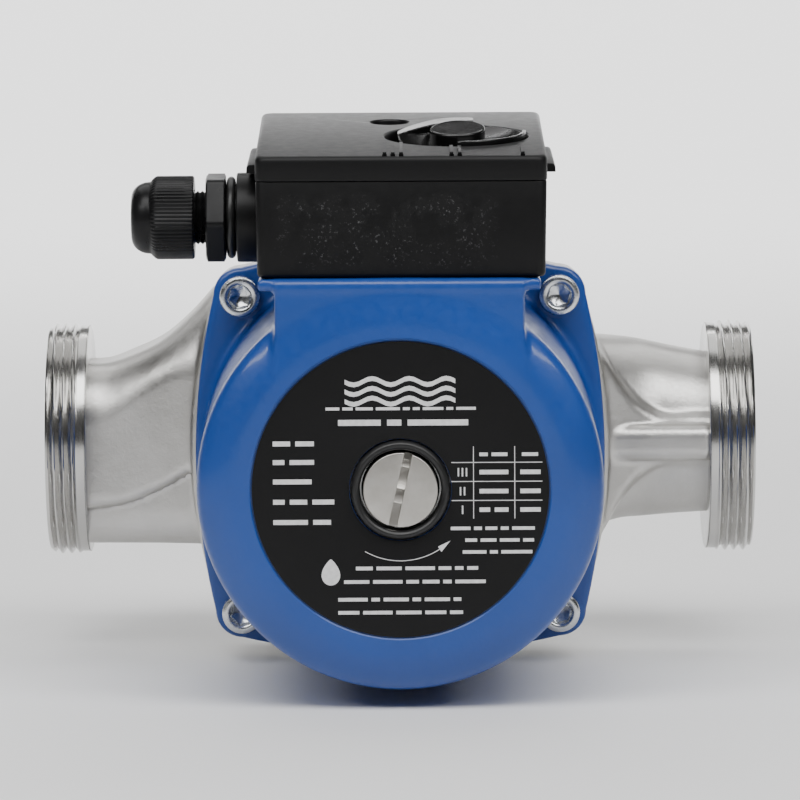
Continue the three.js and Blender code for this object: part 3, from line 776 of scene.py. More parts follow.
DISCHARGE_SIDES = ((-22, -21.5, -21.2, -20.8, -20.0, -19.4), (26.8, 26.8, 26.4, 25.4, 23.3, 21.4),
                   (-21.5,) * 6, (21,) * 6)     # its foot, top, front and back at each station
GUSSET_STATIONS = (48, 51.4, 55.4, 59.3, 64.2, 77)


def neck_stations(values):
    return (values,) * len(SUCTION_STATIONS)


def pump_field(x, y, z):
    radial = np.sqrt(x * x + z * z)
    volute = disc(radial, y, 49.3, JOINT_Y + 0.5, -7, 5)
    dome = ellipsoid(x, y, z, (0, -13, 0), (48.8, 40.5, 48.8))
    body = smooth_min(volute, dome, 5)
    foot = neck_stations(SUCTION_FOOT)
    neck_sides = (foot, SUCTION_TOP, SUCTION_FRONT, SUCTION_BACK)
    neck = round_duct(x, y, z, SUCTION_STATIONS, neck_sides, NECK_CORNERS)
    neck = smooth_max(neck, y - hermite(z, NECK_LEAN_Z, NECK_LEAN_Y), 7.0)
    neck = smooth_max(neck, hermite(x, LEDGE_STATIONS, LEDGE_LEVEL) - z, 3.0)
    web_front = tuple(front + WEB_STEP for front in SUCTION_FRONT)
    web_back = tuple(back - 2 for back in SUCTION_BACK)
    web = duct(x, y, z, SUCTION_STATIONS, (foot, neck_stations(8), web_front, web_back), 5.0)
    body = smooth_min(body, smooth_min(neck, web, 0.8), np.where(y > 0, 6.0, 2.6))
    discharge = duct(x, y, z, DISCHARGE_STATIONS, DISCHARGE_SIDES, 2.2)
    lobes = ellipsoid(x, y, z, (40, -9, 2), (30, 20, 25.5))
    body = smooth_min(body, smooth_min(discharge, lobes, 2.5), 4)
    half = hermite(x, GUSSET_STATIONS, (26, 22.6, 16, 11, 7.5, 6.5))
    front = hermite(x, GUSSET_STATIONS, (-30.5, -29.0, -26.8, -25.2, -24.2, -23.6))
    gusset = smooth_max(np.abs(z - 1) - half, front - y, 3.6)
    gusset = smooth_max(gusset, np.maximum(slab(x, 44, 79.5), y + 8), 0.8)
    body = smooth_min(body, gusset, 1.8)
    rib = block(x, y, z, (36, -28.3, -3.8), (80, -8, 5.1), 3.0)
    body = smooth_min(body, rib, 1.1)
    flange = flange_field(x, y, z, FLANGE_HALF + 1.4, FLANGE_HALF - 0.3, LUG_R - 0.3,
                          JOINT_Y, JOINT_Y + 11, 0.9)
    body = smooth_min(body, flange, 1.4)
    return np.maximum(body, JOINT_Y - y)


def bore_along(points, radius):
    """A round cutter along a broken line, mitred at its bends."""
    spots = [Vector(p) for p in points]
    rings = []
    for i, spot in enumerate(spots):
        ahead = spots[min(i + 1, len(spots) - 1)] - spots[max(i - 1, 0)]
        ahead.normalize()
        up = Vector((0, 0, 1))
        side = ahead.cross(up).normalized()
        up = side.cross(ahead)
        rings.append([tuple(spot + side * radius * math.cos(angle) + up * radius * math.sin(angle))
                      for angle in turns(40)])
    return stacked(rings)


def smooth_path(points, steps):
    """Points along a Catmull-Rom curve."""
    spots = [Vector(p) for p in points]
    out = []
    for i in range(len(spots) - 1):
        p0 = spots[max(i - 1, 0)]
        p1 = spots[i]
        p2 = spots[i + 1]
        p3 = spots[min(i + 2, len(spots) - 1)]
        for k in range(steps):
            t = k / steps
            out.append(0.5 * ((2 * p1) + (p2 - p0) * t + (2 * p0 - 5 * p1 + 4 * p2 - p3) * t * t
                              + (3 * p1 - p0 - 3 * p2 + p3) * t ** 3))
    out.append(spots[-1])
    return out


def pump_casting():
    casting = field_object("pump_casting", pump_field, (-83, JOINT_Y - 1.6, -51.5), (82, 31, 51.5),
                           0.85, "cast_steel")
    suction = smooth_path([(-84, 0, 0), (-72, 0, 0), (-52, 0, 0), (-30, 3, 0), (-10, 7, 0), (4, 8, 0)], 5)
    delivery = smooth_path([(24, -21, 8), (42, -17, 5), (58, -7, 1), (76, 0, 0), (84, 0, 0)], 5)
    cutters = [
        rod_part("y", 42, JOINT_Y - 2, -12),
        rod_part("y", 47, JOINT_Y - 2, JOINT_Y + 3.5),
        rod_part("y", 15.5, -13, 14),
        bore_along(suction, 12.5),
        bore_along(delivery, 11.5),
        rod_part("x", PORT_BORE_R + 0.2, -PORT_END - 2, -PORT_END + 24, sides=120),
        rod_part("x", PORT_BORE_R + 0.2, PORT_END - 22, PORT_END + 2, sides=120),
    ]
    for x, z in SCREW_PLACES:
        cutters.append(rod_part("y", 3.3, JOINT_Y - 2, JOINT_Y + 9, (x, 0, z), 32))
    cut(casting, cutters)
    shaded(casting.data, 42)
    return casting


def thread_ring(name, face, inward, length):
    """A union thread: a real helix that runs out into a plain collar, with a bore and a chamfered face."""
    around = turns(120)
    root_r = THREAD_R - 1.45
    collar_r = THREAD_R - 0.6
    threaded = length - 2.3
    step = THREAD_PITCH / 12
    rows = int(length / step)
    hand = 1 if inward > 0 else -1

    def radius_at(depth, angle):
        phase = (depth / THREAD_PITCH - hand * angle / (2 * math.pi)) % 1.0
        crest = abs(phase - 0.5) * 2
        tooth = root_r + (THREAD_R - root_r) * min(max(1.18 * (1 - crest) - 0.08, 0.0), 1.0) ** 0.85
        start = min(max((depth - 0.1) / 1.6, 0.0), 1.0)
        tooth = min(tooth, root_r + (THREAD_R - root_r) * start + 0.25)
        if depth > threaded - 0.9:
            fade = min((depth - threaded + 0.9) / 0.9, 1.0)
            tooth = tooth * (1 - fade) + collar_r * fade
        return tooth

    rings = []
    for row in range(rows + 1):
        depth = row * step
        ring = []
        for angle in around:
            radius = radius_at(depth, angle)
            ring.append((face + inward * depth, radius * math.cos(angle), radius * math.sin(angle)))
        rings.append(ring)

    def circle(radius, depth):
        x = face + inward * depth
        return [(x, radius * math.cos(angle), radius * math.sin(angle)) for angle in around]

    back = [(collar_r, length - 0.5), (collar_r - 0.15, length - 0.15), (collar_r - 0.5, length),
            (PORT_BORE_R + 3, length), (PORT_BORE_R, length - 0.1)]
    front = [(PORT_BORE_R, 0.7), (PORT_BORE_R + 0.7, 0.0), (root_r - 0.6, 0.0), (root_r - 0.1, 0.05)]
    all_rings = rings[:-1] + [circle(r, d) for r, d in back + front]
    return mesh_object(name, *stacked(all_rings, caps=False, closed=True), "thread_steel", 38)


# ---------------------------------------------------------------- stator housing
def stator_field(x, y, z):
    radial = np.sqrt(x * x + z * z)
    back_r = 49.2
    side = radial - (DRUM_R + (back_r - DRUM_R) * (np.clip(y, DRUM_FRONT, FLANGE_BACK) - DRUM_FRONT) / 91)
    pillow_r = 13.1
    out = np.clip(radial - 38.6, 0, 10.2)
    shoulder = DRUM_FRONT + pillow_r - np.sqrt(pillow_r * pillow_r - out * out)
    front = (shoulder - y) * np.sqrt(1 - (out / pillow_r) ** 2)
    drum = smooth_max(smooth_max(side, front, 1.5), y - FLANGE_BACK, 0.5)
    saddle = block(x, y, z, (-NECK_HALF, SADDLE_FRONT, 15), (NECK_HALF, -49.5, PAD_TOP - 0.6), 0.8)
    body = smooth_min(drum, saddle, 2.0)
    pad = block(x, y, z, (-33.3, SADDLE_FRONT + 0.9, PAD_TOP - 2.6), (33.3, -49.0, PAD_TOP), 0.7)
    body = smooth_min(body, pad, 1.6)
    flange = flange_field(x, y, z, FLANGE_HALF, FLANGE_HALF, LUG_R, FLANGE_FRONT, FLANGE_BACK, 1.3)
    return smooth_min(body, flange, 3.0)


def stator_shell():
    shell = field_object("stator_shell", stator_field, (-53, DRUM_FRONT - 1.6, -53),
                         (53, FLANGE_BACK + 1.6, 53), 0.8, "blue_paint")
    recess = [(0, DRUM_FRONT - 2), (LABEL_R + 0.9, DRUM_FRONT - 2), (LABEL_R + 0.9, DRUM_FRONT - 0.2),
              (LABEL_R + 0.35, DRUM_FRONT + 0.3), (LABEL_R + 0.3, DRUM_FRONT + 0.9), (0, DRUM_FRONT + 0.9)]
    cutters = [
        rod_part("y", 43.5, -118, FLANGE_BACK + 2, sides=96),
        rod_part("y", 12, DRUM_FRONT - 2, -117),
        lathe(recess, "y", sides=144),
        rod_part("z", 5.5, 38, PAD_TOP + 2, LEAD_HOLE, 40),
    ]
    for x, y in BOX_SCREWS:
        cutters.append(rod_part("z", 2, 42, PAD_TOP + 2, (x, y, 0), 24))
    for x, z in SCREW_PLACES:
        cutters.append(rod_part("y", 3.3, FLANGE_FRONT - 3, FLANGE_BACK + 2, (x, 0, z), 32))
        cutters.append(rod_part("y", 6.1, FLANGE_FRONT - 14, FLANGE_FRONT + 0.05, (x, 0, z), 48))
    cut(shell, cutters)
    shaded(shell.data, 42)
    return shell


HEAD_HEIGHT = 6.0                               # of an M6 socket-head cap screw
SOCKET_TURN = 0.26                              # how far the hexagon socket is turned


def flange_screw(name, x, z):
    """An M6 cap screw: eased head, hexagon socket with a cone floor."""
    face = FLANGE_FRONT - 0.3 - HEAD_HEIGHT
    around = turns(72)

    def circle(radius, y):
        return [(x + radius * math.cos(angle), y, z + radius * math.sin(angle)) for angle in around]

    def hexagon(flats, y):
        out = []
        for angle in around:
            radius = flats / 2 / math.cos(angle % (math.pi / 3) - math.pi / 6)
            turned = angle + SOCKET_TURN
            out.append((x + radius * math.cos(turned), y, z + radius * math.sin(turned)))
        return out

    shank_end = JOINT_Y + 8
    head = ((3.0, HEAD_HEIGHT), (4.75, HEAD_HEIGHT), (5.0, 5.7), (5.0, 0.85), (4.93, 0.5), (4.7, 0.16),
            (4.35, 0.0), (3.45, 0.0), (3.2, 0.12), (2.98, 0.35))
    rings = [circle(2.2, shank_end), circle(3.0, shank_end - 0.8)]
    rings += [circle(radius, face + depth) for radius, depth in head]
    rings += [hexagon(flats, face + depth) for flats, depth in ((5.1, 0.8), (5.0, 1.0), (5.0, 2.7))]
    rings += [circle(2.0, face + 3.0), circle(0.4, face + 3.7)]
    return mesh_object(name, *stacked(rings), "zinc", 28)


# ---------------------------------------------------------------- vent screw, ring and label
SLOT_HALF = 1.0
SLOT_DEPTH = 2.3
SLOT_STEPS = (11, 7.2, 5.4, 0.3, -3.2, -11)     # where the rough floor of the slot steps back
SLOT_RISES = (0.55, 0.45, 1.4, 0.75, 1.6)


def slot_profile(face):
    """The slot seen from its side: a floor torn into shallow steps, each rising towards its lower end."""
    outline = [(SLOT_STEPS[0], face - 2)]
    for top, foot, rise in zip(SLOT_STEPS, SLOT_STEPS[1:], SLOT_RISES):
        for k in range(6):
            t = k / 5
            outline.append((top + (foot - top) * t - 0.02 * (k == 0), face + SLOT_DEPTH - rise * t * t))
    outline.append((SLOT_STEPS[-1], face - 2))
    return outline


def vent_screw():
    face = vent_low.y
    profile = filleted([(0, face, 0), (VENT_R, face, 0.35), (VENT_R, -122.2, 0.3), (7.2, -122.2, 0.2),
                        (7.2, -108.6), (6.2, -108, 0.1), (0, -108, 0)], 0.2)
    screw = mesh_object("vent_screw_head", *lathe(profile, "y", sides=128), "turned_steel", 30)
    slot = prism(slot_profile(face), -SLOT_HALF, SLOT_HALF,
                 lambda v, y, u: (u * math.cos(SLOT_TURN) + v * math.sin(SLOT_TURN), y,
                                  v * math.cos(SLOT_TURN) - u * math.sin(SLOT_TURN)))
    cut(screw, [slot])
    shaded(screw.data, 30)
    eased_edges(screw, 0.12, 50)
    return screw


def vent_ring():
    """The black bead round the screw: a round outer shoulder, a valley and a thin inner lip."""
    profile = [(9.6, -120.4), (11.5, -120.4), (11.7, -120.7), (11.7, -124.9), (11.55, -125.6),
               (11.2, -126.15), (10.75, -126.4), (10.35, -126.3), (10.05, -125.95), (9.95, -125.9),
               (9.75, -126.05), (9.6, -125.7), (9.6, -120.4)]
    return mesh_object("vent_bead", *lathe(profile, "y", sides=128), "rubber", 60)


def label_disc():
    face = plate_low.y
    back = plate_high.y
    profile = filleted([(12.1, back, 0), (LABEL_R, back, 0), (LABEL_R, face, 0.12), (12.1, face, 0.12),
                        (12.1, back, 0)], 0.1)
    return mesh_object("label_plate", *lathe(profile, "y", sides=144), "label_film", 40)


INK = 0.06                                      # thickness of a printed mark


def ink_prism(outline):
    face = plate_low.y
    return prism(outline, face - INK, face + 0.02, lambda u, v, w: (u, w, v))


def bar(x0, x1, z0, z1):
    return ink_prism(rectangle(x0, x1, z0, z1))


def words(x0, x1, z, height, rng):
    """A printed line as plain bars with word-like lengths."""
    marks = []
    thick = height * 0.26
    x = x0
    while x < x1 - height * 0.5:
        end = x + height * 0.62 * rng.choice((2, 3, 4, 5, 6, 7))
        if x1 - end < height * 1.6:
            end = x1
        marks.append(bar(x, end, z - thick, z + thick))
        x = end + height * 0.55
    return marks


def arc_ink(radius, width, start, end, steps):
    """A printed arc about the vent screw."""
    face = plate_low.y
    edges = ((radius, face - INK), (radius + width, face - INK), (radius + width, face + 0.02),
             (radius, face + 0.02))
    rings = []
    for k in range(steps + 1):
        angle = start + (end - start) * k / steps
        rings.append([(r * math.cos(angle), y, r * math.sin(angle)) for r, y in edges])
    return stacked(rings)


def label_print():
    """Generic marks in the layout of a rating label: a wave, bars for lines, a table, an arrow and a drop."""
    rng = random.Random(7)
    marks = []
    for row in range(3):
        upper = []
        lower = []
        for k in range(25):
            x = -13 + 26 * k / 24
            z = 25.6 - row * 2.3 + 0.75 * math.sin(x * 0.72)
            upper.append((x, z + 0.55))
            lower.append((x, z - 0.55))
        for k in range(24):
            marks.append(ink_prism([lower[k], lower[k + 1], upper[k + 1], upper[k]]))
    marks += words(-17.5, 17.8, 19.2, 1.3, rng)
    marks += words(-14.6, 16.0, 15.9, 2.7, rng)
    for z, end in ((11.0, -20.3), (6.6, -20.3), (2.0, -20.9), (-2.8, -15.6), (-7.6, -16.4)):
        marks += words(-30.0, end, z, 2.2, rng)
    for x in (17.2, 26.9):
        marks.append(bar(x - 0.09, x + 0.09, -6.9, 10.2))
    for z in (6.4, 1.9, -2.6):
        marks.append(bar(12.0, 33.4, z - 0.09, z + 0.09))
    for x0, x1 in ((18.6, 25.2), (28.6, 32.4)):
        marks += words(x0, x1, 8.3, 1.6, rng)
    for z, strokes in ((4.1, 3), (-0.4, 2), (-4.8, 1)):
        for stroke in range(strokes):
            x = 14.6 + (stroke - (strokes - 1) / 2) * 0.95
            marks.append(bar(x - 0.17, x + 0.17, z - 1.0, z + 1.0))
        marks += words(18.6, 25.4, z, 2.0, rng)
        marks += words(28.2, 33.0, z, 2.0, rng)
    for z, x0, x1 in ((-9.2, 11.8, 31.6), (-12.0, 15.2, 31.4), (-14.8, 14.6, 31.0)):
        marks += words(x0, x1, z, 1.5, rng)
    start = math.radians(303)
    tip = math.radians(314)
    marks.append(arc_ink(16.75, 0.16, math.radians(240), start, 40))
    middle = 16.84
    arrow = [(middle * math.cos(tip), middle * math.sin(tip))]
    for radius in (middle + 0.75, middle - 0.75):
        arrow.append((radius * math.cos(start), radius * math.sin(start)))
    marks.append(ink_prism(arrow))
    drop = []
    for angle in turns(28):
        rise = math.sin(angle)
        pinch = 1.0 if rise < 0 else 1.0 - 0.55 * rise ** 2
        height = 2.4 if rise < 0 else 3.8
        drop.append((-16.5 + 2.2 * math.cos(angle) * pinch, -20.2 + height * rise))
    marks.append(ink_prism(drop))
    for z, x0, x1 in ((-18.6, -10.6, 18.2), (-21.8, -13.4, 20.0), (-26.0, -14.8, 14.2), (-29.1, -14.8, 14.6)):
        marks += words(x0, x1, z, 1.6, rng)
    return mesh_object("label_print", *joined(*marks), "white_ink", 30)


# ---------------------------------------------------------------- terminal box
def lid_top(y):
    return LID_EDGE + (y - BOX_FRONT) * math.tan(LID_SLOPE)


def box_ring(z, inset, draft):
    """The base's outline at height z, `inset` in from its wall and `draft` more at its sides."""
    side = inset + draft
    outline = rounded_rectangle(BOX_LEFT + 0.1 + side, BOX_RIGHT - 0.1 - side, BOX_FRONT + 0.3 + inset,
                                BOX_BACK - 0.3 - inset, max(2.2 - inset, 0.35))
    return [(x, y, z) for x, y in outline]


def box_base():
    """The open base: drafted walls, eased bottom edge, a stepped rim, and the boss for the gland."""
    bottom = base_low.z
    top = LID_SPLIT
    outer = ((bottom, 0.9, 0.35), (bottom + 0.15, 0.45, 0.35), (bottom + 0.5, 0.15, 0.35),
             (bottom + 1.0, 0.0, 0.32), (top - 0.35, 0.0, 0.0), (top - 0.1, 0.1, 0.0), (top, 0.35, 0.0))
    inner = ((top, 2.4, 0.0), (top - 0.3, 2.7, 0.0), (bottom + 2.6, 2.75, 0.0), (bottom + 1.9, 3.3, 0.0))
    base = mesh_object("box_base", *stacked([box_ring(*ring) for ring in outer + inner]), "black_plastic", 40)
    left = BOX_LEFT + 0.3
    boss = filleted([(0, left + 2.0, 0), (9.9, left + 2.0, 0), (9.9, left - 0.4, 0), (10.8, left - 0.4, 0.1),
                     (10.8, -39.1, 0.5), (0, -39.1, 0)], 0.4)
    join(base, [lathe(boss, "x", GLAND_CENTRE, 96)])
    post = cutter(moved(lathe([(0, -34), (4, -34), (4, -12.9), (3.6, -12.5), (0, -12.5)], "z", sides=40),
                        AT_LID_SCREW))
    cut(post, [rod_part("z", 20, 20, bottom + 0.8, (LID_SCREW_X, -66, 0), 24)])
    boolean(base, [post], "UNION")
    cutters = [rod_part("x", 7.9, -45, -25, GLAND_CENTRE, 64),
               moved(rod_part("z", 2.3, -21, -12, sides=32), AT_LID_SCREW),
               rod_part("z", 6.5, 45, 60, LEAD_HOLE, 48)]
    for x, y in BOX_SCREWS:
        cutters.append(rod_part("z", 2, 45, 60, (x, y, 0), 24))
    cut(base, cutters)
    shaded(base.data, 38)
    return base


def lid_ring(inset, below, level=None):
    """The lid's outline, `inset` in from its side and `below` its sloping top, or at a level."""
    outline = rounded_rectangle(BOX_LEFT + inset, BOX_RIGHT - inset, BOX_FRONT + inset, BOX_BACK - inset,
                                max(2.6 - inset * 0.6, 0.5))
    return [(x, y, level if level is not None else lid_top(y) - below) for x, y in outline]


MARK_REACH = (20.0, 15.4)                       # how far the lines run up the panel, left and middle


def position_mark(x):
    """A raised line in front of the dish with a small notch at its foot, on the panel."""
    def place(u, v, w):
        return tuple(PANEL @ Vector((u, v, w)))
    reach = MARK_REACH[0] if x < 4 else MARK_REACH[1]
    line = prism(rectangle(x - 0.42, x + 0.42, 3.6, reach), -0.3, 0.48, place, 0.2)
    notch = prism(rectangle(x - 0.55, x + 0.55, 0.7, 3.5), -1.2, 1.0, place)
    return line, notch


def mark_places():
    """Three lines for III, two for II, one for I, spread in front of the dish."""
    places = []
    for centre, strokes in ((-1.4, 3), (13.4, 2), (29.2, 1)):
        for stroke in range(strokes):
            places.append(centre + (stroke - (strokes - 1) / 2) * 1.95)
    return places


def side_lug(wall, side):
    """A catch on the lid's side: a low front face and a top that climbs to the back."""
    rings = []
    for y, top in ((-98, 75.1), (-97.8, 75.3), (-80.6, 78.5), (-80, 78.3)):
        reach = 2.6 if y < -90 else 2.0
        outline = [(-1.0, 73.3), (reach - 0.1, 73.3), (reach, 73.4), (reach - 0.05, top - 0.7),
                   (reach - 0.35, top - 0.2), (reach - 0.8, top), (-1.0, top + 0.1)]
        rings.append([(wall + side * u, y, z) for u, z in outline])
    return stacked(rings)


def box_lid():
    """The sloping lid: skirt, eased top edge with a slight bead, dish for the knob, well for the screw."""
    floor = lid_low.z
    wall = 2.4
    rings = [lid_ring(wall + 0.6, wall + 0.2), lid_ring(wall, wall + 0.8)]
    skirt = ((wall, 0.2), (wall - 0.2, 0.0), (0.35, 0.0), (0.08, 0.12), (0, 0.35))
    rings += [lid_ring(inset, 0, floor + rise) for inset, rise in skirt]
    rim = ((0, 1.5), (0.02, 1.05), (0.16, 0.6), (0.45, 0.22), (0.85, 0.03), (1.3, 0.0), (1.9, 0.0))
    rings += [lid_ring(inset, below) for inset, below in rim]
    lid = mesh_object("box_lid", *stacked(rings), "black_plastic", 40)
    cup = filleted([(0, -DISH_DEPTH - 1.8, 0), (DISH_R + 1.6, -DISH_DEPTH - 1.8), (DISH_R + 1.6, -0.9),
                    (0, -0.9, 0)], 0.8)
    join(lid, [moved(lathe(cup, "z", sides=96), AT_KNOB), moved(rod_part("z", 6.4, -7.6, -0.9), AT_LID_SCREW),
               side_lug(BOX_LEFT, -1), side_lug(BOX_RIGHT, 1)])
    dish = [(0, -DISH_DEPTH), (DISH_R - 1.4, -DISH_DEPTH), (DISH_R - 0.6, -DISH_DEPTH + 0.25),
            (DISH_R - 0.15, -DISH_DEPTH + 0.9), (DISH_R - 0.1, -0.7), (DISH_R + 0.08, -0.25),
            (DISH_R + 0.45, 0.0), (DISH_R + 1.5, 0.6), (DISH_R + 1.5, 2), (0, 2)]
    well = [(0, -5.4), (4.6, -5.4), (4.6, -0.5), (4.72, -0.28), (5.0, 0.0), (5.8, 0.8), (5.8, 2), (0, 2)]
    cutters = [moved(lathe(dish, "z", sides=144), AT_KNOB), moved(lathe(well, "z", sides=72), AT_LID_SCREW),
               moved(rod_part("z", 4.6, -9, -2), AT_KNOB),
               moved(rod_part("z", 2.4, -9, -2, sides=40), AT_LID_SCREW)]
    marks = [position_mark(x) for x in mark_places()]
    join(lid, [line for line, notch in marks])
    cut(lid, cutters + [notch for line, notch in marks])
    shaded(lid.data, 32)
    return lid


HUB_TILT = 0.13                                 # the hub's top leans a little to the front
FLANK_SLOPE = 1.6                               # how steeply the lever's front falls away


def speed_knob():
    """A lever knob: round hub, flank to the tip, raised crescent behind it, lip and bowl along the front."""
    hub_r = 6.6
    hub_top = 1.9
    tip = -14.2
    floor = -DISH_DEPTH + 0.3
    lip_r = DISH_R - 0.55

    def field(u, v, w):
        from_axis = np.sqrt(u * u + v * v)
        hub = smooth_max(np.sqrt((u - 0.3) ** 2 + (v - 0.6) ** 2) - hub_r,
                         slab(w, floor, hub_top + HUB_TILT * v - 0.004 * (u - 4.0) ** 2), 0.5)
        crown = hermite(u, (tip, -10, -6, -2, 4.2), (0.55, 1.35, 2.0, 2.4, 2.5))
        inner = np.sqrt((u - 11.1) ** 2 + (v + 28.5) ** 2) - 37.1
        outer = np.sqrt(u ** 2 + (v + 2.0) ** 2) - 15.4
        edge = np.maximum(outer, from_axis - lip_r)
        crescent = smooth_max(np.maximum(edge, -inner), slab(w, floor, crown), 0.3)
        crescent = smooth_max(crescent, slab(u, tip, 4.2), 0.3)
        t = np.clip(-u / (-tip - 1.0), 0.0, 1.0)
        flank = np.sqrt((u + t * (-tip - 1.0)) ** 2 + (v + t) ** 2) - (hub_r * (1 - t) + t)
        slope = crown - 0.3 + FLANK_SLOPE * inner
        web = smooth_max(smooth_max(flank, inner, 0.4), slab(w, floor, slope), 0.4)
        turn = np.arctan2(v, u)
        lip = smooth_max(np.abs(from_axis - lip_r + 0.5) - 0.5, slab(w, floor, 1.15), 0.4)
        lip = smooth_max(lip, 4.0 * (np.abs(turn + 0.72) - 0.86), 0.5)
        bowl_top = -2.6 + 3.3 * np.clip((from_axis - hub_r) / (lip_r - hub_r), 0, 1) ** 2
        bowl = smooth_max(slab(from_axis, hub_r - 1, lip_r - 0.6), slab(w, floor, bowl_top), 0.4)
        bowl = smooth_max(bowl, 4.0 * (np.abs(turn + 0.22) - 1.36), 0.5)
        body = smooth_min(smooth_min(hub, web, 0.4), crescent, 0.15)
        return smooth_min(body, smooth_min(lip, bowl, 0.3), 0.3)

    points, faces = net_surface(field, (-17.6, -17.6, floor - 0.8), (17.6, 16.4, 4), 0.3)
    knob = mesh_object("selector_knob", *moved((points, faces), AT_KNOB), "knob_plastic", 50)
    join(knob, [moved(rod_part("z", 4.2, -9.4, -3.2, sides=56), AT_KNOB)])
    cut(knob, [moved(rod_part("z", 2.9, -10, -4.4, sides=40), AT_KNOB)])
    shaded(knob.data, 40)
    return knob


def lid_screw():
    """A captive pan-head screw with a cross recess."""
    profile = filleted([(0, -18, 0), (1.4, -18, 0.1), (2.0, -17.2, 0.1), (2.0, -5.1, 0.1), (4.1, -5.1, 0.2),
                        (4.1, -3.6, 0.5), (3.1, -2.7, 0.6), (0, -2.6, 0)], 0.2)
    screw = mesh_object("cover_screw", *moved(lathe(profile, "z", sides=64), AT_LID_SCREW), "zinc", 35)
    arms = []
    for turn in (0.5, 0.5 + math.pi / 2):
        c = math.cos(turn)
        s = math.sin(turn)
        arm = prism(rectangle(-2.3, 2.3, -0.42, 0.42), -4.3, -1,
                    lambda u, v, w, c=c, s=s: tuple(AT_LID_SCREW @ Vector((u * c - v * s, u * s + v * c, w))))
        arms.append(arm)
    cut(screw, arms)
    shaded(screw.data, 35)
    return screw


# ---------------------------------------------------------------- cable gland
HEXAGON_TURN = math.radians(5.5)


def gland_nut():
    """The cap: smooth dome nose, then a skirt with fine ribs and a smooth flat below."""
    def swell(radius, along, angle):
        if not -59.4 < along < -49.4 or radius < 9:
            return radius
        below = abs((angle - 1.5 * math.pi + math.pi) % (2 * math.pi) - math.pi)
        flat = min(max((0.72 - below) / 0.06, 0.0), 1.0)
        rib = 0.5 + 0.5 * math.cos(angle * 64)
        ribbed = radius - 0.22 * (1 - rib ** 0.7) * (1 - flat)
        facet = min(radius, (radius - 0.16) / max(math.cos(below), 0.8)) if flat > 0 else radius
        return ribbed * (1 - flat) + facet * flat

    outer = [(6.9, -49.4), (9.7, -49.4), (10.1, -49.7), (10.1, -52), (10.1, -54.5), (10.1, -57),
             (10.1, -58.3), (9.8, -58.9), (9.15, -59.6), (8.75, -59.9)]
    dome = []
    for k in range(13):
        angle = math.pi / 2 * k / 12
        dome.append((4.9 + 3.75 * math.cos(angle), -60.3 - 4.3 * math.sin(angle)))
    inner = [(4.5, -64.2), (4.6, -63.2), (5.4, -62.0), (6.9, -61.8), (6.9, -49.4)]
    cap = lathe(outer + dome + inner, "x", GLAND_CENTRE, 512, swell)
    return mesh_object("gland_cap", *cap, "gland_plastic", 40)


def gland_body():
    """Hexagon with eased corners, threaded neck under the cap, threaded shank through the wall."""
    around = turns(192)

    def circle(radius, x):
        return [(x, GLAND_Y + radius * math.cos(angle), GLAND_Z + radius * math.sin(angle))
                for angle in around]

    def hexagon(flats, x, ease):
        out = []
        for angle in around:
            radius = min(flats / 2 / math.cos(angle % (math.pi / 3) - math.pi / 6), flats / 2 * ease)
            turned = angle + math.pi / 3 + HEXAGON_TURN
            out.append((x, GLAND_Y + radius * math.cos(turned), GLAND_Z + radius * math.sin(turned)))
        return out

    rings = [circle(5.2, -27.6), circle(7.3, -27.6), circle(7.6, -27.9)]
    rings += [circle(7.6 if k % 2 else 7.1, -28.4 - 0.5 * k) for k in range(22)]
    rings += [circle(7.5, -41.5), hexagon(19.4, -41.8, 1.06), hexagon(20, -42.1, 1.13),
              hexagon(20, -46.1, 1.13), hexagon(19.4, -46.5, 1.06), circle(6.6, -46.5)]
    rings += [circle(6.5 if k % 2 else 6.0, -46.9 - 0.55 * k) for k in range(19)]
    rings += [circle(5.9, -57.8), circle(5.2, -58.0)]
    return mesh_object("gland_stem", *stacked(rings, caps=False, closed=True), "gland_plastic", 32)


def o_ring(name, axis, centre, middle, thick, along, squash=1.0):
    """A rubber ring: `middle` is its mean radius, `thick` its section's radius, `squash` flattens it."""
    profile = []
    for angle in turns(24) + [0.0]:
        profile.append((middle + thick * math.cos(angle), along + thick * squash * math.sin(angle)))
    return mesh_object(name, *lathe(profile, axis, centre, 96), "rubber", 60)


# ---------------------------------------------------------------- camera, light and floor
VIEW_DISTANCE = 1400.0
VIEW_ELEVATION = math.radians(5.4)
VIEW_ROLL = math.radians(-0.3)
VIEW_RAISE = 9.4                                # how far the lens sits above a line to the port axis
VIEW_WIDTH = 206.61157                          # what the picture spans at the port axis


def camera():
    """A long lens from the front and a little above, with a small roll."""
    distance = VIEW_DISTANCE
    elevation = VIEW_ELEVATION
    ahead = Vector((0, math.cos(elevation), -math.sin(elevation)))
    up = Vector((0, math.sin(elevation), math.cos(elevation)))
    view = bpy.data.cameras.new("view")
    view.sensor_width = 36.0
    view.lens = distance / VIEW_WIDTH * view.sensor_width
    view.clip_start = 0.05
    view.clip_end = 20
    thing = linked("view", view)
    place = (-ahead * distance + up * VIEW_RAISE) * MM
    right = ahead.cross(up)
    turned = Matrix((right, up, -ahead)).transposed().to_4x4()
    thing.matrix_world = Matrix.Translation(place) @ turned @ Matrix.Rotation(VIEW_ROLL, 4, "Z")
    bpy.context.scene.camera = thing


def area_light(name, place, target, size, power, height):
    light = bpy.data.lights.new(name, "AREA")
    light.energy = power
    light.shape = "RECTANGLE"
    light.size = size
    light.size_y = height
    thing = linked(name, light)
    thing.location = place
    thing.rotation_euler = (Vector(target) - Vector(place)).to_track_quat("-Z", "Y").to_euler()


